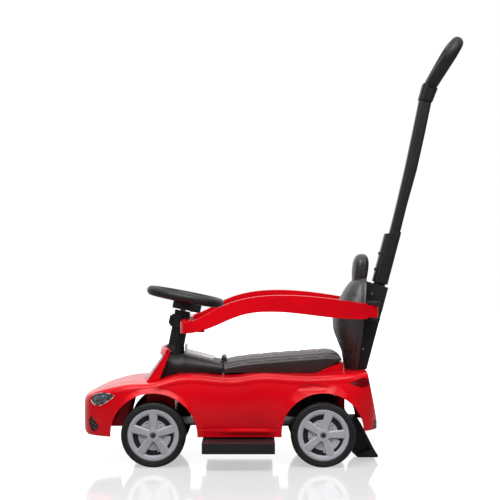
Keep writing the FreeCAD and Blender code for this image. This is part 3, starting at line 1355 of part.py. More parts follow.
def rail_release_tab():
    return round_along(tab_block(0, 0), V(0, 0, 1), 2)


# Push handle
STUB_START = 14.0
SHAFT_SHIFT = 3.5
SHAFT_CORNER = 7.0
STUB_END = SLEEVE_LENGTH + 18.0
SHAFT_PLACES = [
    (284.0, 556.0, 13.8, 22.0),
    (304.0, 634.0, 13.2, 25.5),
    (320.5, 710.0, 12.0, 26.3),
    (335.5, 783.0, 11.0, 26.3),
]
COLLAR_TOP_X = 346.0
COLLAR_TOP_HEIGHT = 815.0
GRIP_TALL = 106.0
SNAP_PLACES = (27.0, 63.0)
SNAP_STANDOUT = 3.0


def snap_rod(place, start, end, radius):
    """A rod across the sleeve's front wall, from start to end ahead of that wall."""
    face = -SLEEVE_DEPTH / 2
    return on_handle(rod(V(face - start, 0, place), V(face - end, 0, place), radius))


def handle_sleeve():
    tongue = tube_block(TONGUE_DEPTH, TONGUE_WIDTH, -TONGUE_LENGTH, 5, 6)
    body = tube_block(SLEEVE_DEPTH, SLEEVE_WIDTH, SEAT_GAP, SLEEVE_LENGTH + 14, 9)
    slope = [(-SLEEVE_DEPTH, SLEEVE_LENGTH - 8), (SLEEVE_DEPTH, SLEEVE_LENGTH + 16)]
    slope += [(SLEEVE_DEPTH, 200), (-SLEEVE_DEPTH, 200)]
    body = body.cut(side_plate(slope, -60, 60))
    solid = fused([tongue, body])
    depth = SHAFT_TUBE_DEPTH + 2 * SLIDE_FIT
    width = SHAFT_TUBE_WIDTH + 2 * SLIDE_FIT
    bore = tube_block(depth, width, STUB_START, 200, SHAFT_CORNER + SLIDE_FIT, SHAFT_SHIFT)
    solid = on_handle(solid.cut(bore))
    for place in SNAP_PLACES:
        solid = solid.cut(snap_rod(place, 5, -SLEEVE_DEPTH / 2, SNAP_DIAMETER / 2 + LOOSE_FIT))
    return solid


def shaft_outline(inset, x, z, lean, depth):
    along = V(math.cos(math.radians(lean)), 0, -math.sin(math.radians(lean)))
    width = SHAFT_TUBE_WIDTH - 2 * inset
    return rounded_rectangle(V(x, 0, z), V(0, 1, 0), width, along, depth - 2 * inset, SHAFT_CORNER - inset)


def shaft_loft(inset):
    """The shaft's tube, straight inside the sleeve and curving gently above it."""
    along = V(HANDLE_COS, 0, -HANDLE_SIN)
    up = V(HANDLE_SIN, 0, HANDLE_COS)
    places = []
    for reach in (STUB_START, STUB_END):
        middle = V(HANDLE_X, 0, HANDLE_HEIGHT) + along * SHAFT_SHIFT + up * reach
        places.append((middle.x, middle.z, HANDLE_TILT, SHAFT_TUBE_DEPTH))
    return Part.makeLoft([shaft_outline(inset, *place) for place in places + SHAFT_PLACES], True, True)


def handle_shaft():
    solid = shaft_loft(0).cut(shaft_loft(SHAFT_TUBE_WALL))
    for place in SNAP_PLACES:
        solid = solid.cut(snap_rod(place, 5, -SLEEVE_DEPTH / 2, SNAP_DIAMETER / 2 + LOOSE_FIT))
    return solid


def snap_button(place):
    return snap_rod(place, SNAP_STANDOUT, -SLEEVE_DEPTH / 2 + 2, SNAP_DIAMETER / 2)


def handle_collar():
    x, z, lean, depth = SHAFT_PLACES[-1]
    along = V(math.cos(math.radians(lean)), 0, -math.sin(math.radians(lean)))
    low = rounded_rectangle(V(x, 0, z), V(0, 1, 0), SHAFT_TUBE_WIDTH + 6, along, depth + 4, 9)
    top_lean = (lean + GRIP_LEAN) / 2
    top_along = V(math.cos(math.radians(top_lean)), 0, -math.sin(math.radians(top_lean)))
    top = V(COLLAR_TOP_X, 0, COLLAR_TOP_HEIGHT)
    high = rounded_rectangle(top, V(0, 1, 0), SHAFT_TUBE_WIDTH + 14, top_along, depth + 7, 11)
    return Part.makeLoft([low, high], True, True)


def handle_grip():
    """The loop grip: one bent tube, closed at its foot and leaning back."""
    half = GRIP_WIDTH / 2 - GRIP_DIAMETER / 2
    high = GRIP_TALL
    path = rounded_path([V(0, -half, high), V(0, half, high), V(0, 0, -22)], 27.0)
    start = V(0, 0, high)
    profile = Part.Wire(Part.makeCircle(GRIP_DIAMETER / 2, start, V(0, 1, 0)))
    loop = path.makePipeShell([profile], True, False)
    foot = upright(0, 0, -6, 24, GRIP_DIAMETER / 2)
    grip = tilted(fused([loop, foot]), GRIP_LEAN, COLLAR_TOP_X, COLLAR_TOP_HEIGHT)
    return grip.cut(handle_collar())


# Wheels: drawn once with the axle along Y and the outer face towards -Y
HUB_RADIUS = 14.0
RIM_WALL = 9.5
FACE_Y = -WHEEL_WIDTH / 2
SEAT_Y = FACE_Y + COVER_DEPTH + 0.5
WEB_THICKNESS = 5.0
TYRE_SHOULDER = 7.0
SHOULDER_STEPS = 3
DISC_ROWS = ((12, 28.0, 0.0), (12, 22.5, 0.5))
DISC_HOLE_RADIUS = 1.4
DISC_HOLE_SIDES = 6


def tyre():
    radius = WHEEL_RADIUS
    bore = AXLE_DIAMETER / 2 + RUNNING_FIT
    seat = COVER_DIAMETER / 2 + SEAT_GAP
    back = -FACE_Y
    inner = radius - RIM_WALL
    outline = [(bore, SEAT_Y), (seat, SEAT_Y), (seat, FACE_Y + 1), (seat + 1, FACE_Y)]
    for step in range(SHOULDER_STEPS + 1):
        angle = math.pi / 2 * step / SHOULDER_STEPS
        r = radius - TYRE_SHOULDER * (1 - math.sin(angle))
        outline.append((r, FACE_Y + TYRE_SHOULDER * (1 - math.cos(angle))))
    for step in range(SHOULDER_STEPS, -1, -1):
        angle = math.pi / 2 * step / SHOULDER_STEPS
        r = radius - TYRE_SHOULDER * (1 - math.sin(angle))
        outline.append((r, back - TYRE_SHOULDER * (1 - math.cos(angle))))
    web = SEAT_Y + WEB_THICKNESS
    outline += [(inner, back), (inner, web), (HUB_RADIUS, web), (HUB_RADIUS, back), (bore, back)]
    solid = polygon([V(r, y, 0) for r, y in outline]).revolve(V(0, 0, 0), V(0, 1, 0), 360)
    grooves = []
    for y in (-9.0, 0.0, 9.0):
        band = crosswise(0, 0, y - 1.2, y + 1.2, radius + 2)
        grooves.append(band.cut(crosswise(0, 0, y - 1.2, y + 1.2, radius - 1.8)))
    return solid.cut(grooves)


def spoke():
    """One spoke of the cover, pointing up: wide at the rim, narrow at the hub, with bevelled edges."""
    top = COVER_DIAMETER / 2 - 7
    wide = SPOKE_RIM_WIDTH / 2
    narrow = SPOKE_HUB_WIDTH / 2
    outline = [V(-narrow, 0, 2), V(narrow, 0, 2), V(wide, 0, top), V(-wide, 0, top)]
    solid = polygon([p + V(0, FACE_Y + 1.2, 0) for p in outline]).extrude(V(0, 5, 0))
    edges = []
    for edge in solid.Edges:
        at_face = abs(edge.CenterOfMass.y - FACE_Y - 1.2) < 0.01
        if at_face and abs(edge.tangentAt(edge.FirstParameter).z) > 0.9:
            edges.append(edge)
    return solid.makeChamfer(2.2, edges)


def disc_hole(x, z):
    outline = []
    for corner in range(DISC_HOLE_SIDES):
        angle = 2 * math.pi * corner / DISC_HOLE_SIDES
        outline.append((x + DISC_HOLE_RADIUS * math.cos(angle), z + DISC_HOLE_RADIUS * math.sin(angle)))
    return side_plate(outline, SEAT_Y - 3, SEAT_Y + 1)


def wheel_cover(turn):
    """The silver cover: rim ring, five spokes, and the drilled disc and caliper behind them."""
    outer = COVER_DIAMETER / 2
    ring_outline = [(outer - 11, SEAT_Y), (outer, SEAT_Y), (outer, FACE_Y + 1.6), (outer - 2, FACE_Y + 0.6)]
    ring_outline += [(outer - 8, FACE_Y + 1.4), (outer - 11, FACE_Y + 3.4)]
    ring = polygon([V(r, y, 0) for r, y in ring_outline]).revolve(V(0, 0, 0), V(0, 1, 0), 360)
    disc = crosswise(0, 0, SEAT_Y - 2.0, SEAT_Y, BRAKE_DISC_DIAMETER / 2)
    hub = crosswise(0, 0, FACE_Y + 0.6, SEAT_Y, HUB_RADIUS - 1)
    sector = crosswise(0, 0, SEAT_Y - 3.6, SEAT_Y, BRAKE_DISC_DIAMETER / 2 + 5)
    sector = sector.cut(crosswise(0, 0, SEAT_Y - 4, SEAT_Y + 1, BRAKE_DISC_DIAMETER / 2 - 9))
    caliper = sector.common(side_plate([(0, 0), (60, -4), (60, -60), (16, -60)], -30, 30))
    spokes = []
    for number in range(SPOKE_COUNT):
        blade = spoke()
        blade.rotate(V(0, 0, 0), V(0, 1, 0), 360.0 / SPOKE_COUNT * number)
        spokes.append(blade)
    holes = []
    for count, radius, shift in DISC_ROWS:
        for number in range(count):
            angle = 2 * math.pi * (number + shift) / count
            holes.append(disc_hole(radius * math.cos(angle), radius * math.sin(angle)))
    disc = disc.cut(holes)
    solid = fused([ring, disc, hub, caliper] + spokes)
    nut_face = SEAT_Y - AXLE_NUT_DEPTH - 2 * SEAT_GAP
    nut_room = crosswise(0, 0, nut_face, SEAT_Y + 1, AXLE_NUT_DIAMETER / 2 + LOOSE_FIT)
    cap_seat = crosswise(0, 0, FACE_Y - 1, FACE_Y + 1.8, CENTRE_CAP_DIAMETER / 2 + 0.05)
    solid = solid.cut([nut_room, cap_seat])
    solid.rotate(V(0, 0, 0), V(0, 1, 0), turn)
    return solid


def centre_cap():
    radius = CENTRE_CAP_DIAMETER / 2
    base = FACE_Y + 1.8
    outline = [V(0, base, 0), V(radius, base, 0), V(radius, FACE_Y + 0.8, 0)]
    outline += [V(radius - 1.5, FACE_Y + 0.2, 0), V(0, FACE_Y, 0)]
    return polygon(outline).revolve(V(0, 0, 0), V(0, 1, 0), 360)


def placed_wheel(shape, axle_x, side):
    """Sets a wheel piece on its axle: side is -1 on the left and 1 on the right."""
    placed = shape.copy() if side < 0 else mirrored(shape)
    placed.translate(V(axle_x, side * WHEEL_MID_Y, WHEEL_RADIUS))
    return placed


def all_nodes():
    outer = hull(0.0, SILL_HEIGHT)
    console = dash_console()
    nodes = {
        "body_shell": body_shell(outer),
        "front_grille": front_grille(),
        "bumper_intakes": bumper_intakes(),
        "headlamp_bowls": headlamp_bowls(),
        "headlamp_lenses": headlamp_lenses(),
        "tail_lamps": tail_lamps(),
        "rear_diffuser": rear_diffuser(),
        "windshield_frame": windshield_frame(),
        "windshield_pane": windshield_pane(),
        "chassis_pan": chassis_pan(),
        "chassis_screws": chassis_screws(),
        "front_axle_bridge": front_axle_bridge(),
        "storage_bin": storage_bin(),
        "seat_lid": seat_lid(),
        "seat_hinge_pin": seat_hinge_pin(),
        "dash_console": console,
        "console_trim": console_trim(console),
        "column_housing": column_housing(),
        "column_collar": column_collar(console),
        "rail_collar": rail_collar(),
        "steering_shaft": steering_shaft(),
        "steering_wheel": steering_wheel(),
        "battery_door": battery_door(),
        "horn_button": horn_button(),
        "tie_rod": tie_rod(),
        "backrest_cushion": backrest_cushion(),
        "headrest": headrest(),
        "backrest_frame": backrest_frame(),
        "rail_hinge_pins": rail_hinge_pins(),
        "handle_sleeve": handle_sleeve(),
        "handle_shaft": handle_shaft(),
        "handle_collar": handle_collar(),
        "handle_grip": handle_grip(),
        "snap_button_lower": snap_button(SNAP_PLACES[0]),
        "snap_button_upper": snap_button(SNAP_PLACES[1]),
        "rear_axle": rear_axle(),
        "rear_axle_nuts": rear_axle_nuts(),
        "anti_tip_stand": anti_tip_stand(),
    }
    paired = {
        "knuckle": knuckle(),
        "stub_axle": stub_axle(),
        "guard_rail": guard_rail(),
        "rail_release_tab": rail_release_tab(),
        "footrest": footrest(),
    }
    for name, shape in paired.items():
        nodes[name + "_left"] = shape
        nodes[name + "_right"] = mirrored(shape)
    tyre_solid = tyre()
    cap_solid = centre_cap()
    axles = (("front", FRONT_AXLE_X, FRONT_SPOKE_TURN), ("rear", REAR_AXLE_X, REAR_SPOKE_TURN))
    for axle, axle_x, turn in axles:
        cover_solid = wheel_cover(turn)
        for side_name, side in (("left", -1), ("right", 1)):
            place = axle + "_" + side_name
            nodes["tyre_" + place] = placed_wheel(tyre_solid, axle_x, side)
            nodes["wheel_cover_" + place] = placed_wheel(cover_solid, axle_x, side)
            nodes["centre_cap_" + place] = placed_wheel(cap_solid, axle_x, side)
    return nodes


os.makedirs("parts", exist_ok=True)
for name, shape in all_nodes().items():
    shape.exportStep("parts/" + name + ".step")
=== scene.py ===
import bmesh
import bpy
import math
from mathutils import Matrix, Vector


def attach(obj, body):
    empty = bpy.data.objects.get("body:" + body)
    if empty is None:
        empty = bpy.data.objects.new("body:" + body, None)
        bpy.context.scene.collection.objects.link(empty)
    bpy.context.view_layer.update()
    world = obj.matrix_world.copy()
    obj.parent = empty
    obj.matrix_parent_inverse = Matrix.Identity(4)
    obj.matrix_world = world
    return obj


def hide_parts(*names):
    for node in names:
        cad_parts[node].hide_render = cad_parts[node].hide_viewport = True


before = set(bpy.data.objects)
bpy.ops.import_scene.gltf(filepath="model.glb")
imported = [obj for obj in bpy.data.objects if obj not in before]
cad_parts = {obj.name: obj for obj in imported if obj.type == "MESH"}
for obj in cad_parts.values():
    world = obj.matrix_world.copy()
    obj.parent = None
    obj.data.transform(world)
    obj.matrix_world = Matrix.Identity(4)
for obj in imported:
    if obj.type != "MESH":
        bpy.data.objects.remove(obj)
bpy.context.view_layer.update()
scene = bpy.context.scene

# Studio: a pale glossy table that runs out to white, one broad soft light overhead, two weaker ones
# from the left, and a level camera that looks at the car's left side from three metres.
class Link:
    """One socket of a finish or of a tree. Sums, products and differences of links add their Math nodes."""

    def __init__(self, tree, socket):
        self.tree = tree
        self.socket = socket

    def node(self, kind, settings, sockets, out=0):
        made = self.tree.nodes.new(kind)
        for name, value in settings.items():
            setattr(made, name, value)
        for key, value in sockets.items():
            if isinstance(value, Link):
                self.tree.links.new(value.socket, made.inputs[key])
            else:
                made.inputs[key].default_value = value
        return Link(self.tree, made.outputs[out] if made.outputs else None)

    def maths(self, operation, first, second=0.0):
        return self.node("ShaderNodeMath", {"operation": operation}, {0: first, 1: second})

    def __add__(self, other):
        return self.maths("ADD", self, other)

    def __sub__(self, other):
        return self.maths("SUBTRACT", self, other)

    def __rsub__(self, other):
        return self.maths("SUBTRACT", other, self)

    def __mul__(self, other):
        return self.maths("MULTIPLY", self, other)

    def __truediv__(self, other):
        return self.maths("DIVIDE", self, other)

    def __pow__(self, other):
        return self.maths("POWER", self, other)

    def __abs__(self):
        return self.maths("ABSOLUTE", self)

    def most(self, other):
        return self.maths("MAXIMUM", self, other)

    def rise(self, low, high):
        """0 up to low, 1 from high on, and smooth between them."""
        sockets = {0: self, 1: low, 2: high, 3: 0.0, 4: 1.0}
        return self.node("ShaderNodeMapRange", {"interpolation_type": "SMOOTHSTEP"}, sockets)

    def line(self, width):
        """1 where this is 0, fading to 0 at a width to each side."""
        return 1.0 - abs(self).rise(0.0, width)

    def noise(self, scale, detail=3.0, rough=0.5):
        sockets = {"Vector": self, "Scale": scale, "Detail": detail, "Roughness": rough}
        return self.node("ShaderNodeTexNoise", {}, sockets)

    def axes(self):
        return [self.node("ShaderNodeSeparateXYZ", {}, {0: self}, axis) for axis in range(3)]

    def blend(self, colour_a, colour_b):
        """One colour where this is 0 and the other where it is 1."""
        return self.node("ShaderNodeMix", {"data_type": "RGBA"}, {0: self, 6: colour_a, 7: colour_b}, 2)


def rgb(red, green, blue):
    """A colour from its screen values, 0 to 255, as linear light."""
    shares = [v / 255 for v in (red, green, blue)]
    return tuple(((v + 0.055) / 1.055) ** 2.4 if v > 0.04 else v / 12.92 for v in shares) + (1.0,)


def new_finish(name):
    """A new finish without nodes, and the link that gives a place on the piece."""
    material = bpy.data.materials.new(name)
    material.use_nodes = True
    material.node_tree.nodes.clear()
    place = Link(material.node_tree, material.node_tree.nodes.new("ShaderNodeTexCoord").outputs["Object"])
    return material, place


def close_finish(material, place, sockets):
    """Ends a finish with its shader, whose sockets take values or links."""
    shader = place.node("ShaderNodeBsdfPrincipled", {}, sockets)
    place.node("ShaderNodeOutputMaterial", {}, {"Surface": shader})
    return material


WHITE = (1.0, 1.0, 1.0, 1.0)
LEAST_MIRRORED = 0.03
LEAST_SCATTERED = 0.13
surroundings = bpy.data.worlds.new("studio")
scene.world = surroundings
surroundings.use_nodes = True
surroundings.node_tree.nodes.clear()
direction = surroundings.node_tree.nodes.new("ShaderNodeTexCoord").outputs["Generated"]
sky = Link(surroundings.node_tree, direction)
_, back, up = sky.axes()
overhead = up.rise(0.1, 0.8)
behind = back.rise(0.3, 0.9)
straight, gloss, through = [
    sky.node("ShaderNodeLightPath", {}, {}, ray)
    for ray in ("Is Camera Ray", "Is Glossy Ray", "Is Transmission Ray")
]
seen = straight.most(through)
mirrored = overhead.most(behind) * (1.0 - LEAST_MIRRORED) + LEAST_MIRRORED
scattered = overhead * 0.56 + LEAST_SCATTERED
room = gloss * mirrored + (1.0 - gloss) * scattered
glow = seen + (1.0 - seen) * room
backdrop = sky.node("ShaderNodeBackground", {}, {"Color": WHITE, "Strength": glow})
sky.node("ShaderNodeOutputWorld", {}, {"Surface": backdrop})

TABLE_HALF = 7.0
TABLE_GREY = (0.32, 0.32, 0.33, 1.0)
table_mesh = bpy.data.meshes.new("table")
corners = [(-1, -1), (1, -1), (1, 1), (-1, 1)]
table_mesh.from_pydata([(x * TABLE_HALF, y * TABLE_HALF, 0.0) for x, y in corners], [], [(0, 1, 2, 3)])
table = bpy.data.objects.new("table", table_mesh)
scene.collection.objects.link(table)
acrylic, spot = new_finish("white_acrylic")
sheet = spot.node("ShaderNodeBsdfPrincipled", {}, {"Base Color": TABLE_GREY, "Roughness": 0.08})
across, along, _ = spot.axes()
reach = (across ** 2.0 + along ** 2.0) ** 0.5
fade_out = reach.rise(0.45, 1.3) * 0.5 + 0.52
lift = spot.node("ShaderNodeLightPath", {}, {}, "Is Camera Ray") * fade_out
bright = spot.node("ShaderNodeEmission", {}, {"Color": WHITE, "Strength": lift})
table_top = spot.node("ShaderNodeAddShader", {}, {0: sheet, 1: bright})
spot.node("ShaderNodeOutputMaterial", {}, {"Surface": table_top})
table_mesh.materials.append(acrylic)


def soft_light(name, place, target, wide, deep, watts):
    """A rectangular light at a place, turned to a target."""
    lamp = bpy.data.lights.new(name, "AREA")
    lamp.shape = "RECTANGLE"
    lamp.size = wide
    lamp.size_y = deep
    lamp.energy = watts
    holder = bpy.data.objects.new(name, lamp)
    holder.location = place
    holder.rotation_euler = (Vector(target) - Vector(place)).to_track_quat("-Z", "Y").to_euler()
    scene.collection.objects.link(holder)


soft_light("overhead_light", (-0.1, -1.1, 2.1), (-0.05, 0.0, 0.2), wide=2.6, deep=1.3, watts=56.0)
soft_light("front_left_light", (-2.0, -2.4, 1.7), (-0.1, 0.0, 0.2), wide=1.2, deep=1.2, watts=5.0)
soft_light("rear_left_light", (2.2, -1.8, 1.4), (0.1, 0.0, 0.3), wide=1.0, deep=1.2, watts=4.0)

VIEW_POINT = (-0.0495, -3.0, 0.4556)
viewer = bpy.data.cameras.new("viewer")
viewer.sensor_width = 36.0
viewer.lens = 98.2
stand_point = bpy.data.objects.new("viewer", viewer)
stand_point.location = VIEW_POINT
stand_point.rotation_euler = (math.pi / 2, 0.0, 0.0)
scene.collection.objects.link(stand_point)
scene.camera = stand_point
scene.view_settings.view_transform = "Standard"


# Chassis: the black polypropylene pan, its steel axles and the zinc-plated screws and nuts that
# hold it under the shell. All of it is moulded or turned stock, bolted from below.
EDGE_RADIUS = 0.0012
GRAIN_HEIGHT = 0.0003


def moulded_plastic(name, colour, roughness, grain, depth, shine=0.4, pattern=None, form=None):
    """A moulded finish: cloudy tone, rubbed gloss, grain of a size in millimetres, softened edges.
    pattern(place) may give a mark from 0 to 1, its colour, and how deep it is pressed in, and
    form(place) a height in metres by which broad shapes turn the light."""
    material, place = new_finish(name)
    cloud = place.noise(11.0, 2.0).rise(0.3, 0.7)
    rub = place.noise(90.0, 5.0, 0.6)
    deep = tuple(v * 0.86 for v in colour[:3]) + (1.0,)
    corner = place.node("ShaderNodeBevel", {"samples": 4}, {"Radius": EDGE_RADIUS})
    flat = place.node("ShaderNodeNewGeometry", {}, {}, "Normal")
    turn = 1.0 - place.node("ShaderNodeVectorMath", {"operation": "DOT_PRODUCT"}, {0: corner, 1: flat}, 1)
    worn = (turn * 3.0).rise(0.05, 0.9) * rub.rise(0.45, 0.62)
    pale = tuple(v * 0.9 + 0.04 for v in colour[:3]) + (1.0,)
    base = (worn * 0.5).blend(cloud.blend(deep, colour), pale)
    height = place.noise(1000.0 / grain, 2.0) * depth
    if pattern:
        mark, ink, dent = pattern(place)
        base = mark.blend(base, ink)
        height = height - mark * dent
    if form:
        corner = place.node("ShaderNodeBump", {}, {"Height": form(place), "Distance": 1.0, "Normal": corner})
    bump = place.node("ShaderNodeBump", {}, {"Height": height, "Distance": GRAIN_HEIGHT, "Normal": corner})
    return close_finish(material, place, {
        "Base Color": base,
        "Roughness": rub * 0.16 + (roughness - 0.08) + worn * 0.1,
        "Specular IOR Level": shine,
        "Normal": bump,
    })


def dress(material, *names):
    """Gives one finish to the named pieces."""
    for name in names:
        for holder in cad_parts[name].material_slots:
            holder.material = material


black_plastic = moulded_plastic("black_polypropylene", rgb(27, 26, 27), roughness=0.44, grain=0.7, depth=0.22)
steel, place = new_finish("zinc_plated_steel")
spangle = place.noise(260.0, 4.0)
close_finish(steel, place, {
    "Base Color": spangle.blend(rgb(168, 168, 165), rgb(204, 204, 206)),
    "Metallic": 1.0,
    "Roughness": spangle * 0.2 + 0.22,
    "Normal": place.node("ShaderNodeBump", {}, {"Height": spangle, "Strength": 0.15, "Distance": 0.0002}),
})
dress(black_plastic, "chassis_pan", "knuckle_left", "knuckle_right", "tie_rod", "storage_bin")
dress(steel, "chassis_screws", "rear_axle", "rear_axle_nuts", "stub_axle_left", "stub_axle_right")
dress(steel, "steering_shaft", "seat_hinge_pin", "rail_hinge_pins")


# Body shell: one glossy red moulding from the nose to the tail, with the wheel arches in it. The windshield
# frame and the front axle bridge are of the same plastic. The hood and fenders have creases, and there
# is a shallow oval dent over each wheel.
RED = rgb(228, 5, 24)
# Painted shade: the darker red in which the creases, folds and front dents are drawn.
CREASE_SHADE_RED = rgb(120, 2, 14)


def shell_creases_with_painted_shade(place):
    """Two creases on the hood, a fold line along each fender and a dent over each front wheel, pressed in and
    painted a darker red as the shade in them.
    """
    x, y, z = place.axes()
    side = abs(y)
    crease = (side - 0.068 - (x + 0.37) * 0.16).line(0.0045)
    crease = crease * x.rise(-0.374, -0.36) * (1.0 - x.rise(-0.30, -0.285)) * z.rise(0.15, 0.156)
    fold = (z - 0.1597 - (x + 0.316) * 0.115).line(0.0016)
    fold = fold * x.rise(-0.32, -0.30) * (1.0 - x.rise(-0.22, -0.19)) * side.rise(0.08, 0.10)
    dent = ((x + 0.236) / 0.0165) ** 2.0 + ((z - 0.1625) / 0.0028) ** 2.0
    dent = (1.0 - dent.rise(0.6, 1.15)) * side.rise(0.10, 0.11)
    return crease.most(dent * 0.35).most(fold * 0.3), CREASE_SHADE_RED, 3.0


def shell_form(place):
    """A shallow oval dent over each rear wheel."""
    x, _, z = place.axes()
    oval = ((x - 0.084) / 0.036) ** 2.0 + ((z - 0.166) / 0.0085) ** 2.0
    return oval.rise(0.1, 1.2) * 0.0022


red_gloss = {"roughness": 0.2, "grain": 3.5, "depth": 0.004, "shine": 0.22}
red_plastic = moulded_plastic("red_gloss_plastic", RED, **red_gloss)
red_shell = moulded_plastic("red_gloss_shell", RED, pattern=shell_creases_with_painted_shade, form=shell_form, **red_gloss)
dress(red_shell, "body_shell")
dress(red_plastic, "windshield_frame", "front_axle_bridge")


# Lamps, grilles and diffuser: clear lenses over dark bowls with two round projectors each, a bright
# bezel round each lamp, dark red tail lenses, and black inserts clipped in from behind.
def smooth_loop(points, steps):
    """A smooth closed line through points, with some steps from each to the next."""
    line = []
    count = len(points)
    for i in range(count):
        a, b, c, d = [Vector(points[(i + k) % count]) for k in (-1, 0, 1, 2)]
        for step in range(steps):
            t = step / steps
            line.append(0.5 * (2 * b + (c - a) * t + (2 * a - 5 * b + 4 * c - d) * t * t
                               + (3 * b - a - 3 * c + d) * t ** 3))
    return line


def skinned(name, rings, loop=False, crisp=40.0):
    """A closed skin through rings of points in millimetres: smooth, but crisp where it bends sharply."""
    count = len(rings[0])
    total = len(rings) * count
    faces = []
    for start in range(0, total if loop else total - count, count):
        after = (start + count) % total
        for i in range(count):
            j = (i + 1) % count
            faces.append((start + i, start + j, after + j, after + i))
    if not loop:
        faces += [tuple(range(count)), tuple(range(total - count, total))]
    mesh = bpy.data.meshes.new(name)
    mesh.from_pydata([Vector(p) * 0.001 for ring in rings for p in ring], [], faces)
    work = bmesh.new()
    work.from_mesh(mesh)
    bmesh.ops.remove_doubles(work, verts=work.verts, dist=1e-6)
    bmesh.ops.recalc_face_normals(work, faces=work.faces)
    for face in work.faces:
        face.smooth = True
    work.to_mesh(mesh)
    work.free()
    mesh.set_sharp_from_angle(angle=math.radians(crisp))
    piece = bpy.data.objects.new(name, mesh)
    scene.collection.objects.link(piece)
    return piece


def bead(name, points, radius):
    """A round bead of a radius along a closed line of points, all in millimetres."""
    rings = []
    count = len(points)
    for i, point in enumerate(points):
        ahead = (points[(i + 1) % count] - points[i - 1]).normalized()
        out = (Vector((0, 1, 0)) - ahead * ahead.y).normalized()
        up = ahead.cross(out)
        turns = [2 * math.pi * k / 8 for k in range(8)]
        rings.append([point + (out * math.cos(turn) + up * math.sin(turn)) * radius for turn in turns])
    return skinned(name, rings, loop=True)


def mount(piece, body, material):
    """Gives a finished piece its one finish, and fixes it to a body."""
    piece.data.materials.clear()
    piece.data.materials.append(material)
    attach(piece, body)


def joined(name, pieces):
    """Several meshes of one piece as one object."""
    work = bmesh.new()
    for piece in pieces:
        work.from_mesh(piece.data)
        bpy.data.objects.remove(piece)
    mesh = bpy.data.meshes.new(name)
    work.to_mesh(mesh)
    work.free()
    made = bpy.data.objects.new(name, mesh)
    scene.collection.objects.link(made)
    return made


LAMP_OUTLINE = [
    (-386, 137), (-384, 145), (-376, 150), (-361, 154), (-346, 153.5), (-335, 148.5),
    (-345, 140), (-357, 132), (-367, 127), (-377, 127), (-383.5, 131),
]
PROJECTORS = [(-0.3745, 0.1375, 0.0075), (-0.3570, 0.1440, 0.0060)]
BEZEL_RADIUS = 0.9


def on_side(x, z, side):
    """The point of the car's skin at x and z, in millimetres, seen from its left or right."""
    start = Vector((x * 0.001, side * 0.4, z * 0.001))
    hits = []
    for name in ("body_shell", "headlamp_lenses"):
        hit, point, _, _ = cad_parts[name].ray_cast(start, Vector((0, -side, 0)), distance=0.4)
        if hit:
            hits.append(point.y)
    return Vector((x, side * max(abs(y) for y in hits) * 1000, z))


def bezel(side):
    """The bright bead round one headlamp, laid on the car's skin."""
    outline = smooth_loop([(x, 0.0, z) for x, z in LAMP_OUTLINE], 6)
    return bead("bezel", [on_side(p.x, p.z, side) for p in outline], BEZEL_RADIUS)


lens, place = new_finish("clear_lens")
haze = place.noise(300.0, 2.0)
close_finish(lens, place, {
    "Base Color": rgb(236, 240, 244),
    "Roughness": haze * 0.05 + 0.02,
    "Transmission Weight": 0.97,
    "IOR": 1.3,
})
bowl, place = new_finish("dark_lamp_bowl")
x, _, z = place.axes()
edges = []
insides = []
for centre_x, centre_z, radius in PROJECTORS:
    distance = ((x - centre_x) ** 2.0 + (z - centre_z) ** 2.0) ** 0.5
    edge = (distance - radius).line(0.0012)
    # Painted highlight: a small pale glint a little above each projector's middle, drawn in the rims' colour.
    painted_glint_distance = ((x - centre_x + 0.002) ** 2.0 + (z - centre_z - 0.0025) ** 2.0) ** 0.5
    edges.append(edge.most(1.0 - painted_glint_distance.rise(0.0010, 0.0022)))
    insides.append(1.0 - distance.rise(radius - 0.001, radius))
# The projectors' pale rims, which also carry the painted glints.
ring = edges[0].most(edges[1])
glass = insides[0].most(insides[1])
ripple = place.noise(180.0, 3.0)
shade = ripple.blend(rgb(24, 23, 26), rgb(48, 46, 50))
close_finish(bowl, place, {
    "Base Color": ring.blend(glass.blend(shade, rgb(8, 8, 10)), rgb(140, 138, 144)),
    "Roughness": ripple * 0.12 + 0.16,
    "Metallic": (1.0 - glass) * 0.6,
})
chrome, place = new_finish("chromed_bezel")
ripple = place.noise(120.0, 3.0)
close_finish(chrome, place, {
    "Base Color": ripple.blend(rgb(196, 190, 192), rgb(216, 210, 212)),
    "Metallic": 0.3,
    "Roughness": ripple * 0.12 + 0.2,
})
tail_red, place = new_finish("dark_red_lens")
facets = place.noise(420.0, 2.0)
close_finish(tail_red, place, {
    "Base Color": facets.blend(rgb(96, 1, 10), rgb(132, 3, 16)),
    "Roughness": facets * 0.1 + 0.08,
    "Specular IOR Level": 0.4,
})
dress(lens, "headlamp_lenses")
dress(bowl, "headlamp_bowls")
dress(tail_red, "tail_lamps")


def painted_slat_highlights(place):
    """Painted highlights: pale lines along the lit upper edges of the slats, which are also raised a little.
    """
    x, _, z = place.axes()
    level = (z + x * 0.55) / 0.0088
    off = level - level.maths("ROUND", level)
    return off.line(0.13) * 0.8, rgb(150, 150, 154), -1.5


slatted = moulded_plastic(
    "slatted_insert", rgb(17, 17, 18), roughness=0.36, grain=0.7, depth=0.1, pattern=painted_slat_highlights)
dress(slatted, "bumper_intakes", "front_grille")
dress(black_plastic, "rear_diffuser")
bezels = joined("headlamp_bezels", [bezel(-1), bezel(1)])
mount(bezels, "car", chrome)


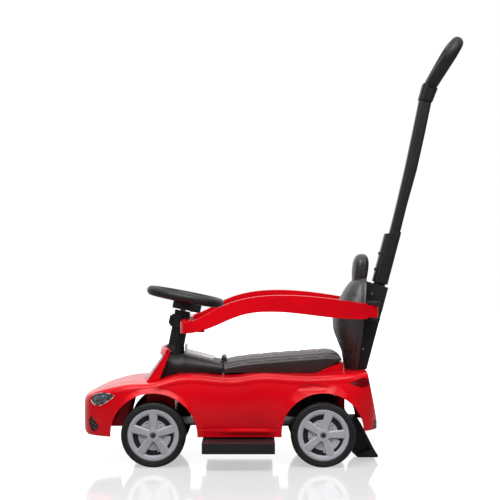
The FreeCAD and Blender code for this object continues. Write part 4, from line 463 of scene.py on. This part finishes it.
# Fender flares and sill ridges: the red shell swells out to the lip of each wheel arch and to a ridge
# along each sill. They are moulded with it: their skins lie on it and sink into it at their edges.
SUNK = -0.5
LIP_GAP = 0.2
SKIN_STEP = 1.5
FLARE_CURVE = 1.7
FADE_ANGLE = 38.0
FRONT_ARCH = {
    "axle": -252.0, "centre": 63.5, "lip": 92.0, "broad": 15.0, "high": 5.5, "first": 18.0, "last": 150.0,
}
REAR_ARCH = {
    "axle": 104.0, "centre": 69.0, "lip": 87.0, "broad": 28.0, "high": 6.5, "first": 42.0, "last": 162.0,
}
RIDGE_HEIGHT = 3.2
RIDGE_START = -138.0
RIDGE_END = 8.0
RIDGE_TOP = 86.0
RIDGE_FOOT = 64.0
RIDGE_PROFILE = [
    (84.0, 0.0), (81.5, 0.16), (79.0, 0.45), (77.0, 0.75), (75.5, 0.94),
    (74.5, 1.0), (73.0, 0.92), (71.0, 0.66), (68.0, 0.3), (65.0, 0.0),
]


def smooth_step(value, low, high):
    """0 up to low, 1 from high on, and smooth between them."""
    share = min(max((value - low) / (high - low), 0.0), 1.0)
    return share * share * (3 - 2 * share)


def flare(axle, centre, lip, broad, high, first, last, side):
    """The swelling round one wheel arch: highest at the lip, and gone at its ends and its outer edge."""
    rings = []
    for step in range(81):
        angle = first + (last - first) * step / 80
        ahead, up = math.cos(math.radians(angle)), math.sin(math.radians(angle))
        fade = smooth_step(angle, first, first + FADE_ANGLE)
        fade *= 1 - smooth_step(angle, last - FADE_ANGLE, last)
        wide = broad * (0.55 + 0.45 * fade)
        outer, inner = [], []
        for k in range(13):
            share = k / 12
            reach = lip + LIP_GAP + wide * share
            outside = reach + SKIN_STEP
            skin = on_side(axle + outside * ahead, centre + outside * up, side)
            spot = Vector((axle + reach * ahead, skin.y, centre + reach * up))
            swell = (high * fade - SUNK) * (1 - share) ** FLARE_CURVE + SUNK
            outer.append(spot + Vector((0, side * swell, 0)))
            inner.append(spot + Vector((0, side * 3 * SUNK, 0)))
        rings.append(outer + inner[::-1])
    return skinned("flare", rings)


def ridge(side):
    """The ridge along one sill: highest half way up its profile, and gone at its ends."""
    rings = []
    for step in range(61):
        x = RIDGE_START + (RIDGE_END - RIDGE_START) * step / 60
        fade = smooth_step(x, RIDGE_START, -70.0) * (1 - smooth_step(x, -18.0, RIDGE_END))
        high, low = on_side(x, RIDGE_TOP, side), on_side(x, RIDGE_FOOT, side)
        outer, inner = [], []
        for z, share in RIDGE_PROFILE:
            spot = low + (high - low) * ((z - RIDGE_FOOT) / (RIDGE_TOP - RIDGE_FOOT))
            swell = (RIDGE_HEIGHT * fade - SUNK) * share + SUNK
            outer.append(spot + Vector((0, side * swell, 0)))
            inner.append(spot + Vector((0, side * 3 * SUNK, 0)))
        rings.append(outer + inner[::-1])
    return skinned("ridge", rings, crisp=60.0)


swells = [ridge(-1), ridge(1)]
for side in (-1, 1):
    swells.append(flare(side=side, **FRONT_ARCH))
    swells.append(flare(side=side, **REAR_ARCH))
swells = joined("flares_and_ridges", swells)
mount(swells, "car", red_shell)


# Windshield: a grey smoked sheet of plastic set into the red frame, which is pushed into a slot of the
# shell. A rounded red bar, moulded with the frame, joins the tips of its pillars.
HEADER_X = -241.5
HEADER_Z = 237.0
HEADER_HALF = 88.0
HEADER_BOW = 14.0
HEADER_LEAN = 0.3
HEADER_SIZE = (4.0, 8.3)


def squarish(value):
    """A cosine or sine drawn out towards its ends, which turns a circle into a rounded square."""
    return math.copysign(abs(value) ** 0.5, value)


def header_ring(y, share):
    """The bar's outline across the car at y, shrunk to a share of its size."""
    middle = HEADER_X + HEADER_BOW * (y / HEADER_HALF) ** 2
    ring = []
    for k in range(32):
        turn = 2 * math.pi * k / 32
        ahead = squarish(math.cos(turn)) * HEADER_SIZE[0] * share
        up = squarish(math.sin(turn)) * HEADER_SIZE[1] * share
        ring.append((middle + ahead + HEADER_LEAN * up, y, HEADER_Z + up))
    return ring


smoked, place = new_finish("smoked_pane")
streak = place.noise(60.0, 3.0)
close_finish(smoked, place, {
    "Base Color": streak.blend(rgb(118, 120, 134), rgb(146, 148, 162)),
    "Roughness": streak * 0.1 + 0.2,
    "Specular IOR Level": 0.25,
})
dress(smoked, "windshield_pane")
spans = [(95.0, 0.55), (94.5, 0.8), (93.0, 0.97), (91.0, 1.0)]
spans += [(7.0 * k, 1.0) for k in range(12, 0, -1)]
spans += [(0.0, 1.0)] + [(-y, share) for y, share in reversed(spans)]
header = skinned("windshield_header", [header_ring(y, share) for y, share in spans])
mount(header, "car", red_plastic)


# Steering: a black column with its cuff and rail bracket, the steering wheel with its battery box
# beneath, and a horn button pressed into the hub. The column stands in the console.
dress(black_plastic, "column_housing", "column_collar", "rail_collar")
dress(black_plastic, "steering_wheel", "battery_door", "horn_button")


# Console: a black moulding that fills the space from the windshield to the seat. A bright silver panel
# is clipped on its slope.
silver, place = new_finish("silver_paint")
flake = place.noise(1800.0, 2.0)
cast = place.noise(30.0, 2.0)
close_finish(silver, place, {
    "Base Color": flake.blend(rgb(196, 196, 202), rgb(218, 218, 223)),
    "Metallic": 0.35,
    "Roughness": cast * 0.14 + 0.24,
    "Normal": place.node("ShaderNodeBump", {}, {"Height": flake, "Strength": 0.08, "Distance": 0.0002}),
})
dress(black_plastic, "dash_console")
dress(silver, "console_trim")


# Seat lid: a moulded lid with a grained leather-look skin, quilted in squares by sewn lines and bound
# by one more along its side. It has a finger tab in front and turns on a pin through its tail.
SEAT_FRONT = -107.0
SEAT_TAIL = 147.3
SEAT_HALF = 78.0
SEAT_LIP = 212.0
SEAT_BULGE = 7.5
SEAT_SLOPE = 18.0
SEAT_EDGE = 14.0
SEAT_FOOT = 192.4
DECK_END = 92.0
DECK_SLOPE = 0.49
HOLLOW_DEPTH = 13.0
TAIL_START = 112.0
TAIL_FALL = 17.5
FRONT_ROUND = 3.0
SEAT_SEAMS = (-63.7, -24.3, 17.3, 59.0, 101.8)
SEAT_ROW = 31.0
SEAT_PUFF = 1.3
SEAT_SINK = 0.9
SEAM_WIDTH = 3.2
BINDING_WIDTH = 2.5
HINGE_X = 134.0
HINGE_Z = 224.0
LUG_Y = 46.0
SLOT_HALF = 4.9
SLOT_RADIUS = 9.5


def seat_crest(x):
    """The height of the seat's middle line: it climbs to the rear and is rounded off at the tail."""
    share = (x - SEAT_FRONT) / (HINGE_X - SEAT_FRONT)
    crest = SEAT_LIP + SEAT_BULGE * (1 - math.exp(-9 * share)) + SEAT_SLOPE * share
    if x > TAIL_START:
        fall = (x - TAIL_START) / (SEAT_TAIL - TAIL_START)
        crest -= TAIL_FALL * (1 - math.sqrt(max(1 - fall * fall, 0.0)))
    return crest


def seat_base(x):
    """The height of the seat's foot, which climbs with the deck behind the storage bin."""
    step = 0.75 * smooth_step(x, DECK_END - 4.0, DECK_END)
    return SEAT_FOOT + step + DECK_SLOPE * max(x - DECK_END, 0.0)


def seat_edge(x):
    """The radius of the rounded edge along the seat's sides."""
    return min(SEAT_EDGE, 0.62 * (seat_crest(x) - seat_base(x)))


def seat_crown(x):
    """How much higher the middle line is than the start of the rounded edge."""
    return min(1.5, 0.3 * (seat_crest(x) - seat_base(x)))


def seat_border(x):
    """How far from the middle line, over the skin, the binding seam runs."""
    return SEAT_HALF - seat_edge(x) + 0.72 * seat_edge(x) * math.pi / 2


def hump(distance, width):
    """1 on a line, falling smoothly to 0 within about twice a width of it."""
    return math.exp(-(distance / width) ** 2)


def away(distance, width):
    """0 on a seam, and 1 well away from it."""
    return 1 - hump(distance, width)


def seat_point(x, s, stand=0.0):
    """A point of the seat's skin: x along it, s over it from its middle line down to its foot."""
    top = seat_crest(x)
    edge = seat_edge(x)
    flat = SEAT_HALF - edge
    brow = top - seat_crown(x)
    turn = edge * math.pi / 2
    along = abs(s)
    if along <= flat:
        y, z = along, top - seat_crown(x) * (along / flat) ** 2
        out, up = 0.0, 1.0
    elif along <= flat + turn:
        angle = (along - flat) / edge
        y, z = flat + edge * math.sin(angle), brow - edge + edge * math.cos(angle)
        out, up = math.sin(angle), math.cos(angle)
    else:
        drop = along - flat - turn
        y, z = SEAT_HALF - 0.002 * drop * drop, brow - edge - drop
        out, up = 1.0, 0.0
    across = min(abs(x - seam) for seam in SEAT_SEAMS)
    beside = min(abs(along - SEAT_ROW), abs(along - seat_border(x)))
    if along < seat_border(x):
        puff = away(across, SEAM_WIDTH) * away(beside, SEAM_WIDTH)
    else:
        puff = away(beside, BINDING_WIDTH)
    swell = (SEAT_PUFF * puff - SEAT_SINK) * smooth_step(top - seat_base(x), 8.0, 26.0) + stand
    side = 1 if s >= 0 else -1
    return Vector((x, side * (y + out * swell), z + up * swell))


def seat_ring(x):
    """The seat's outline across the car at x: its skin from side to side, then the hollow below it."""
    top = seat_crest(x)
    foot = seat_base(x)
    edge = seat_edge(x)
    reach = SEAT_HALF - edge + edge * math.pi / 2 + top - seat_crown(x) - edge - foot
    ring = [seat_point(x, reach * (i / 50 - 1)) for i in range(101)]
    deep = HOLLOW_DEPTH * smooth_step(x, -103.0, -99.0) * (1 - smooth_step(x, 84.0, 88.0))
    for y, lift in ((72.0, 0.0), (70.5, deep), (-70.5, deep), (-72.0, 0.0)):
        ring.append(Vector((x, y, foot + lift)))
    if x < SEAT_FRONT + FRONT_ROUND:
        inset = FRONT_ROUND - math.sqrt(max(FRONT_ROUND ** 2 - (SEAT_FRONT + FRONT_ROUND - x) ** 2, 0.0))
        for point in ring[:101]:
            point.z -= inset * smooth_step(point.z, foot, top)
            point.y *= 1 - inset / SEAT_HALF
    return ring


def cut_by(piece, cutters):
    """Takes closed cutters out of a closed piece."""
    for cutter in cutters:
        modifier = piece.modifiers.new("cut", "BOOLEAN")
        modifier.operation = "DIFFERENCE"
        modifier.solver = "EXACT"
        modifier.use_self = True
        modifier.object = cutter
    made = bpy.data.meshes.new_from_object(piece.evaluated_get(bpy.context.evaluated_depsgraph_get()))
    piece.modifiers.clear()
    piece.data = made
    for cutter in cutters:
        bpy.data.objects.remove(cutter)


def lug_slot(side):
    """The room for a hinge lug of the shell: round in front, and open above, below and behind."""
    low, high, rear = 186.0, 245.0, 160.0
    outline = [(HINGE_X - SLOT_RADIUS, low), (HINGE_X - SLOT_RADIUS, HINGE_Z)]
    for step in range(1, 5):
        angle = math.pi * (1 - step / 12)
        outline.append((HINGE_X + SLOT_RADIUS * math.cos(angle), HINGE_Z + SLOT_RADIUS * math.sin(angle)))
    outline += [(HINGE_X - SLOT_RADIUS / 2, high), (rear, high), (rear, low)]
    return skinned("slot", [[(x, side * LUG_Y + y, z) for x, z in outline] for y in (-SLOT_HALF, SLOT_HALF)])


def round_bar(name, x, z, half, radius, ends):
    """A bar of a radius across the car at x and z, with ends rounded by a smaller radius."""
    stops = [(-half, 0.0)]
    for step in range(1, 6):
        angle = math.pi / 2 * step / 5
        stops.append((-half + ends * (1 - math.cos(angle)), math.sin(angle)))
    stops += [(-y, share) for y, share in reversed(stops)]
    rings = []
    for y, share in stops:
        size = radius - ends * (1 - share)
        turns = [2 * math.pi * k / 24 for k in range(24)]
        rings.append([(x + size * math.cos(t), y, z + size * math.sin(t)) for t in turns])
    return skinned(name, rings)


stations = [SEAT_FRONT + FRONT_ROUND * (1 - math.cos(math.pi / 2 * i / 5)) for i in range(5)]
start = SEAT_FRONT + FRONT_ROUND
stations += [start + (SEAT_TAIL - start) * math.sin(math.pi / 2 * (i / 150) ** 0.9) for i in range(151)]
leather = moulded_plastic(
    "grained_seat_plastic", rgb(50, 47, 48), roughness=0.38, grain=1.6, depth=0.5, shine=0.6)
seat = skinned("quilted_seat", [seat_ring(x) for x in stations])
pin_room = round_bar("pin_room", HINGE_X, HINGE_Z, half=62.4, radius=3.1, ends=0.2)
cut_by(seat, [lug_slot(-1), lug_slot(1), pin_room])
finger_tab = round_bar("finger_tab", SEAT_FRONT + 0.5, 219.0, half=28.0, radius=6.0, ends=4.0)
seat = joined("quilted_seat", [seat, finger_tab])
seat.data.set_sharp_from_angle(angle=math.radians(50.0))
mount(seat, "seat", leather)
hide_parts("seat_lid")


def new_tree(name, inputs):
    """An empty tree with a geometry input, more named inputs, and one output for what it makes."""
    tree = bpy.data.node_groups.new(name, "GeometryNodeTree")
    tree.interface.new_socket("Geometry", in_out="INPUT", socket_type="NodeSocketGeometry")
    for label, kind in inputs:
        tree.interface.new_socket(label, in_out="INPUT", socket_type="NodeSocket" + kind)
    tree.interface.new_socket("Geometry", in_out="OUTPUT", socket_type="NodeSocketGeometry")
    entry = tree.nodes.new("NodeGroupInput")
    return tree, [Link(tree, socket) for socket in entry.outputs[:-1]]


def close_tree(made, material):
    """Makes the copies real, gives them their finish, and ends the tree."""
    real = made.node("GeometryNodeRealizeInstances", {}, {0: made})
    coated = made.node("GeometryNodeSetMaterial", {}, {"Geometry": real, "Material": material})
    made.node("NodeGroupOutput", {}, {0: coated})


def grown(name, mesh, tree, settings):
    """Runs a tree on a mesh of points or lines, and keeps the plain mesh that it makes."""
    piece = bpy.data.objects.new(name, mesh)
    scene.collection.objects.link(piece)
    modifier = piece.modifiers.new("tree", "NODES")
    modifier.node_group = tree
    for socket in tree.interface.items_tree:
        if socket.in_out == "INPUT" and socket.name in settings:
            modifier[socket.identifier] = settings[socket.name]
    made = bpy.data.meshes.new_from_object(piece.evaluated_get(bpy.context.evaluated_depsgraph_get()))
    piece.modifiers.remove(modifier)
    piece.data = made
    return piece


def line_mesh(name, lines):
    """A mesh of open lines through points in millimetres."""
    points = []
    edges = []
    for line in lines:
        edges += [(len(points) + i, len(points) + i + 1) for i in range(len(line) - 1)]
        points += [Vector(p) * 0.001 for p in line]
    mesh = bpy.data.meshes.new(name)
    mesh.from_pydata(points, edges, [])
    return mesh


thread, place = new_finish("sewing_thread")
twist = place.noise(2600.0, 2.0)
close_finish(thread, place, {
    "Base Color": twist.blend(rgb(44, 42, 43), rgb(70, 67, 68)),
    "Roughness": twist * 0.2 + 0.6,
})
sewing, (seams, pitch, length, girth) = new_tree(
    "sewn_stitches", [("Pitch", "Float"), ("Length", "Float"), ("Girth", "Float")])
run = seams.node("GeometryNodeMeshToCurve", {}, {"Mesh": seams})
stops = seams.node("GeometryNodeCurveToPoints", {"mode": "LENGTH"}, {"Curve": run, "Length": pitch})
heading = Link(sewing, stops.socket.node.outputs["Rotation"])
grain = seams.node("GeometryNodeMeshUVSphere", {}, {"Segments": 6, "Rings": 4, "Radius": 0.5})
size = seams.node("ShaderNodeCombineXYZ", {}, {0: girth, 1: girth, 2: length})
grain = seams.node("GeometryNodeTransform", {}, {"Geometry": grain, "Scale": size})
stitches = seams.node("GeometryNodeInstanceOnPoints", {}, {
    "Points": stops,
    "Instance": grain,
    "Rotation": heading,
})
close_tree(stitches, thread)
STITCHING = {"Pitch": 0.0042, "Length": 0.0030, "Girth": 0.0009}
STITCH_STAND = 0.1
lines = []
for seam in SEAT_SEAMS:
    edge = seat_border(seam)
    lines.append([seat_point(seam, edge * (i / 30 - 1), STITCH_STAND) for i in range(61)])
spread = [SEAT_FRONT + 5.0 + (SEAT_TAIL - SEAT_FRONT - 30.0) * i / 90 for i in range(91)]
for side in (-1, 1):
    lines.append([seat_point(x, side * SEAT_ROW, STITCH_STAND) for x in spread])
    lines.append([seat_point(x, side * seat_border(x), STITCH_STAND) for x in spread])
seat_stitches = grown("seat_stitches", line_mesh("seat_seams", lines), sewing, STITCHING)
mount(seat_stitches, "seat", thread)


# Backrest and headrest: moulded pads with the same leather look, each with a piped seam round its
# side. The backrest is quilted in front and screwed to the frame, and the headrest is plugged into it.
CUSHION = [
    (197.0, 158.0, 60.0), (236.0, 151.0, 72.0), (268.0, 138.0, 84.0), (296.0, 132.0, 90.0),
    (328.0, 138.0, 90.0), (360.0, 154.0, 80.0), (384.0, 171.0, 66.0), (395.0, 186.0, 52.0),
]
CUSHION_ROWS = (232.0, 262.0, 294.0, 326.0, 356.0)
CUSHION_FOOT = 197.0
CUSHION_PUFF = 1.1
CUSHION_SINK = 0.9
CUSHION_SEAM = 4.5
BACK_X = 184.0
BACK_LEAN = math.tan(math.radians(5.6))
ROUNDNESS = 2.6


def back_plane(z):
    """Where the cushion's flat back is at a height."""
    return BACK_X + (z - CUSHION_FOOT) * BACK_LEAN


def cushion_at(z, column):
    """A smooth reading of the cushion's rows at a height: column 1 is its front, 2 half of its width."""
    heights = [row[0] for row in CUSHION]
    values = [row[column] for row in CUSHION]
    i = max(k for k in range(len(heights) - 1) if heights[k] <= z)
    t = (z - heights[i]) / (heights[i + 1] - heights[i])

    def slope(k):
        low, high = max(k - 1, 0), min(k + 1, len(heights) - 1)
        return (values[high] - values[low]) / (heights[high] - heights[low])

    step = heights[i + 1] - heights[i]
    start = (2 * t ** 3 - 3 * t * t + 1) * values[i] + (t ** 3 - 2 * t * t + t) * step * slope(i)
    return start + (3 * t * t - 2 * t ** 3) * values[i + 1] + (t ** 3 - t * t) * step * slope(i + 1)


def cushion_point(z, angle, stand=0.0):
    """A point of the pad's front and sides: angle from -90 at its left to 90 at its right."""
    front = cushion_at(z, 1)
    half = cushion_at(z, 2)
    depth = back_plane(z) - front
    side = 1 if angle >= 0 else -1
    reach = abs(math.sin(math.radians(angle))) ** (2 / ROUNDNESS)
    deep = max(math.cos(math.radians(angle)), 0.0) ** (2 / ROUNDNESS)
    x = back_plane(z) - 1.0 - depth * deep * 0.98
    behind = back_plane(z) - x
    pipe = 1.8 * hump(behind - 8.0, 1.5)
    pipe -= 1.4 * (hump(behind - 4.2, 1.6) + hump(behind - 12.0, 1.8))
    across = min(abs(z - row) for row in CUSHION_ROWS)
    beside = min(abs(half * reach - 0.36 * half), abs(half * reach - 0.80 * half))
    puff = away(across, CUSHION_SEAM) * away(beside, CUSHION_SEAM)
    quilt = (CUSHION_PUFF * puff - CUSHION_SINK) * smooth_step(deep, 0.35, 0.6) * smooth_step(z, 214.0, 232.0)
    swell = pipe * (1 - smooth_step(deep, 0.5, 0.7)) + quilt + stand
    return Vector((x - swell * deep, side * (half * reach + swell * reach * (1 - deep * 0.7)), z))


def cushion_ring(z):
    """The cushion's outline at a height: its front and sides, then its back."""
    ring = [cushion_point(z, -90 + 180 * i / 120) for i in range(121)]
    half = cushion_at(z, 2)
    return ring + [Vector((back_plane(z) - 0.4, half * k, z)) for k in (0.97, 0.0, -0.97)]


rings = [cushion_ring(CUSHION_FOOT + 0.4 + 197.0 * i / 130) for i in range(131)]
for shrink, rise in ((0.93, 0.25), (0.8, 0.4)):
    last = rings[130]
    middle = sum(last, Vector()) / len(last)
    rings.append([middle + (p - middle) * shrink + Vector((0, 0, rise)) for p in last])
backrest = skinned("quilted_backrest", rings, crisp=60.0)
mount(backrest, "car", leather)
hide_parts("backrest_cushion")
lines = []
for row in CUSHION_ROWS:
    lines.append([cushion_point(row, -52 + 104 * i / 60, STITCH_STAND) for i in range(61)])
cushion_stitches = grown("backrest_stitches", line_mesh("backrest_seams", lines), sewing, STITCHING)
mount(cushion_stitches, "car", thread)

HEADREST_FOOT = 386.0
HEADREST_TALL = 61.0
HEADREST_MIDDLE = back_plane(HEADREST_FOOT) - 12.5
HEADREST_HALF = 45.0
HEADREST_DEPTH = 17.5


def headrest_ring(share):
    """The headrest's outline at a share of its height, with a piped seam half way along its sides."""
    size = (1 - abs(2 * share - 1) ** 2.6) ** (1 / 2.6) if share > 0.5 else 1 - 0.16 * (1 - 2 * share) ** 2.0
    centre = HEADREST_MIDDLE + share * HEADREST_TALL * BACK_LEAN
    ring = []
    for k in range(96):
        turn = 2 * math.pi * k / 96
        out = abs(math.sin(turn)) ** (2 / 2.5) * math.copysign(1, math.sin(turn))
        ahead = abs(math.cos(turn)) ** (2 / 2.2) * math.copysign(1, math.cos(turn))
        x = HEADREST_DEPTH * size * ahead
        pipe = 1.5 * hump(x, 1.3)
        pipe -= 0.9 * (hump(x - 3.4, 1.5) + hump(x + 3.4, 1.5))
        grow = pipe * smooth_step(size, 0.1, 0.5)
        y = (HEADREST_HALF * size + grow) * out
        ring.append(Vector((centre + x, y, HEADREST_FOOT + share * HEADREST_TALL)))
    return ring


shares = [0.5 * i / 16 for i in range(16)]
shares += [0.5 + 0.5 * math.sin(math.pi / 2 * i / 22) for i in range(22)] + [0.9995]
headrest = skinned("piped_headrest", [headrest_ring(share) for share in shares], crisp=60.0)
mount(headrest, "car", leather)
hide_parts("headrest")


# Guard rails and backrest frame: two red rails that swing on pins in the black frame behind the seat,
# with a red release tab each. The frame carries the backrest on four screws and holds the handle's socket.
dress(red_plastic, "guard_rail_left", "guard_rail_right", "rail_release_tab_left", "rail_release_tab_right")
dress(black_plastic, "backrest_frame")

screwing, (spots, radius, height) = new_tree("pan_head_screws", [("Radius", "Float"), ("Height", "Float")])
facing = spots.node("GeometryNodeInputNamedAttribute", {"data_type": "FLOAT_VECTOR"}, {"Name": "facing"})
heading = spots.node("FunctionNodeAlignRotationToVector", {"axis": "Z"}, {"Vector": facing})
head = spots.node("GeometryNodeMeshCone", {}, {
    "Vertices": 20,
    "Radius Top": radius * 0.66,
    "Radius Bottom": radius,
    "Depth": height,
})
up = spots.node("ShaderNodeCombineXYZ", {}, {2: height})
for wide, deep, tall in ((1.1, 0.24, 1.0), (0.24, 1.1, 1.15)):
    size = spots.node("ShaderNodeCombineXYZ", {}, {0: radius * wide, 1: radius * deep, 2: height * tall})
    bar = spots.node("GeometryNodeMeshCube", {}, {"Size": size})
    bar = spots.node("GeometryNodeTransform", {}, {"Geometry": bar, "Translation": up})
    head = spots.node("GeometryNodeMeshBoolean", {"operation": "DIFFERENCE"}, {"Mesh 1": head, "Mesh 2": bar})
screws = spots.node("GeometryNodeInstanceOnPoints", {}, {
    "Points": spots,
    "Instance": head,
    "Rotation": heading,
})
close_tree(screws, steel)


def screwed(name, node, body, places, radius, height):
    """Screws of a head radius and height, in metres, set on a node's skin nearest to each place."""
    mesh = bpy.data.meshes.new(name)
    found = [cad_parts[node].closest_point_on_mesh(Vector(p) * 0.001) for p in places]
    mesh.from_pydata([point for _, point, _, _ in found], [], [])
    facing = mesh.attributes.new("facing", "FLOAT_VECTOR", "POINT")
    for row, (_, _, normal, _) in zip(facing.data, found):
        row.vector = normal
    piece = grown(name, mesh, screwing, {"Radius": radius, "Height": height})
    mount(piece, body, steel)


screw_places = [(195.0, side * 46.0, 241.0) for side in (-1, 1)]
screw_places += [(214.0, side * 46.0, 360.0) for side in (-1, 1)]
screwed("frame_screws", "backrest_frame", "car", screw_places, radius=0.0036, height=0.0022)


# Push handle: a black lower sleeve in the frame's socket, the flattened shaft above it, a collar and
# the loop grip with its fine ribs. Two snap buttons hold it in the socket.
def grip_ribs(place):
    """Fine ribs across the grip's loop: the grooves between them are pressed in and painted darker as their
    shade.
    """
    x, _, z = place.axes()
    along = z * 0.86 + x * 0.51
    wave = along.maths("SINE", along * 1500.0).rise(0.3, 0.9) * z.rise(0.842, 0.846)
    return wave * 0.5, rgb(16, 15, 16), 0.8


grip_plastic = moulded_plastic(
    "ribbed_grip", rgb(27, 26, 27), roughness=0.5, grain=0.7, depth=0.2, pattern=grip_ribs)
dress(black_plastic, "handle_sleeve", "handle_shaft", "handle_collar")
dress(black_plastic, "snap_button_lower", "snap_button_upper")
dress(grip_plastic, "handle_grip")


# Wheels: blow-moulded black tyres that run straight on the axles, a silver-painted cover with five
# spokes and a drilled disc pressed into each, and a dark cap in its middle.
FRONT_AXLE = -0.252
REAR_AXLE = 0.104
AXLE_HEIGHT = 0.068
REAR_TURN = math.radians(15.0)
SPOKE_ANGLE = 2 * math.pi / 5


def round_axle(place):
    """How far a place is from its own axle, its angle round it, and 1 for a rear wheel."""
    x, _, z = place.axes()
    rear = x.rise(-0.075, -0.073)
    from_axle = x - FRONT_AXLE - rear * (REAR_AXLE - FRONT_AXLE)
    up = z - AXLE_HEIGHT
    distance = (from_axle ** 2.0 + up ** 2.0) ** 0.5
    return distance, up.maths("ARCTAN2", up, from_axle), rear


def tread(place):
    """Cuts across the tread and two rings on the tyre's side, pressed in and painted darker as the shade in
    them.
    """
    distance, angle, _ = round_axle(place)
    sipe = angle.maths("SINE", angle * 48.0).rise(0.6, 0.95) * distance.rise(0.0645, 0.0652)
    bands = (distance - 0.0585).line(0.0007).most((distance - 0.0622).line(0.0006))
    return sipe.most(bands), rgb(14, 14, 15), 1.6


def spoke_lines(place):
    """Two grooves along each of the five spokes, and a ring round them, pressed in and painted darker as the
    shade in them.
    """
    distance, angle, rear = round_axle(place)
    share = (angle + rear * REAR_TURN - math.pi / 2) / SPOKE_ANGLE
    off = share - share.maths("ROUND", share)
    across = abs(off * SPOKE_ANGLE) * distance
    groove = (across - 0.0026).line(0.0008)
    groove = groove * distance.rise(0.015, 0.017) * (1.0 - distance.rise(0.043, 0.046))
    ring = (distance - 0.0445).line(0.0006)
    return groove.most(ring) * 0.55, rgb(120, 120, 126), 2.0


def cap_ring(place):
    """A pale raised ring on the cap."""
    distance, _, _ = round_axle(place)
    return (distance - 0.0052).line(0.0009), rgb(150, 150, 155), -0.6


tyre_plastic = moulded_plastic(
    "tyre_plastic", rgb(24, 24, 25), roughness=0.55, grain=0.9, depth=0.3, shine=0.35, pattern=tread)
cover_paint = moulded_plastic(
    "silver_wheel_paint", rgb(176, 175, 182), roughness=0.3, grain=0.5, depth=0.06, shine=0.6,
    pattern=spoke_lines)
cap_plastic = moulded_plastic(
    "dark_cap", rgb(34, 34, 36), roughness=0.3, grain=0.5, depth=0.05, shine=0.5, pattern=cap_ring)
corners_of_car = ("front_left", "front_right", "rear_left", "rear_right")
dress(tyre_plastic, *["tyre_" + corner for corner in corners_of_car])
dress(cover_paint, *["wheel_cover_" + corner for corner in corners_of_car])
dress(cap_plastic, *["centre_cap_" + corner for corner in corners_of_car])


# Footrests and anti-tip stand: black ribbed steps that slide in under the sills, and the moulded foot
# behind the rear axle that keeps the car from tipping back.
dress(black_plastic, "footrest_left", "footrest_right", "anti_tip_stand")
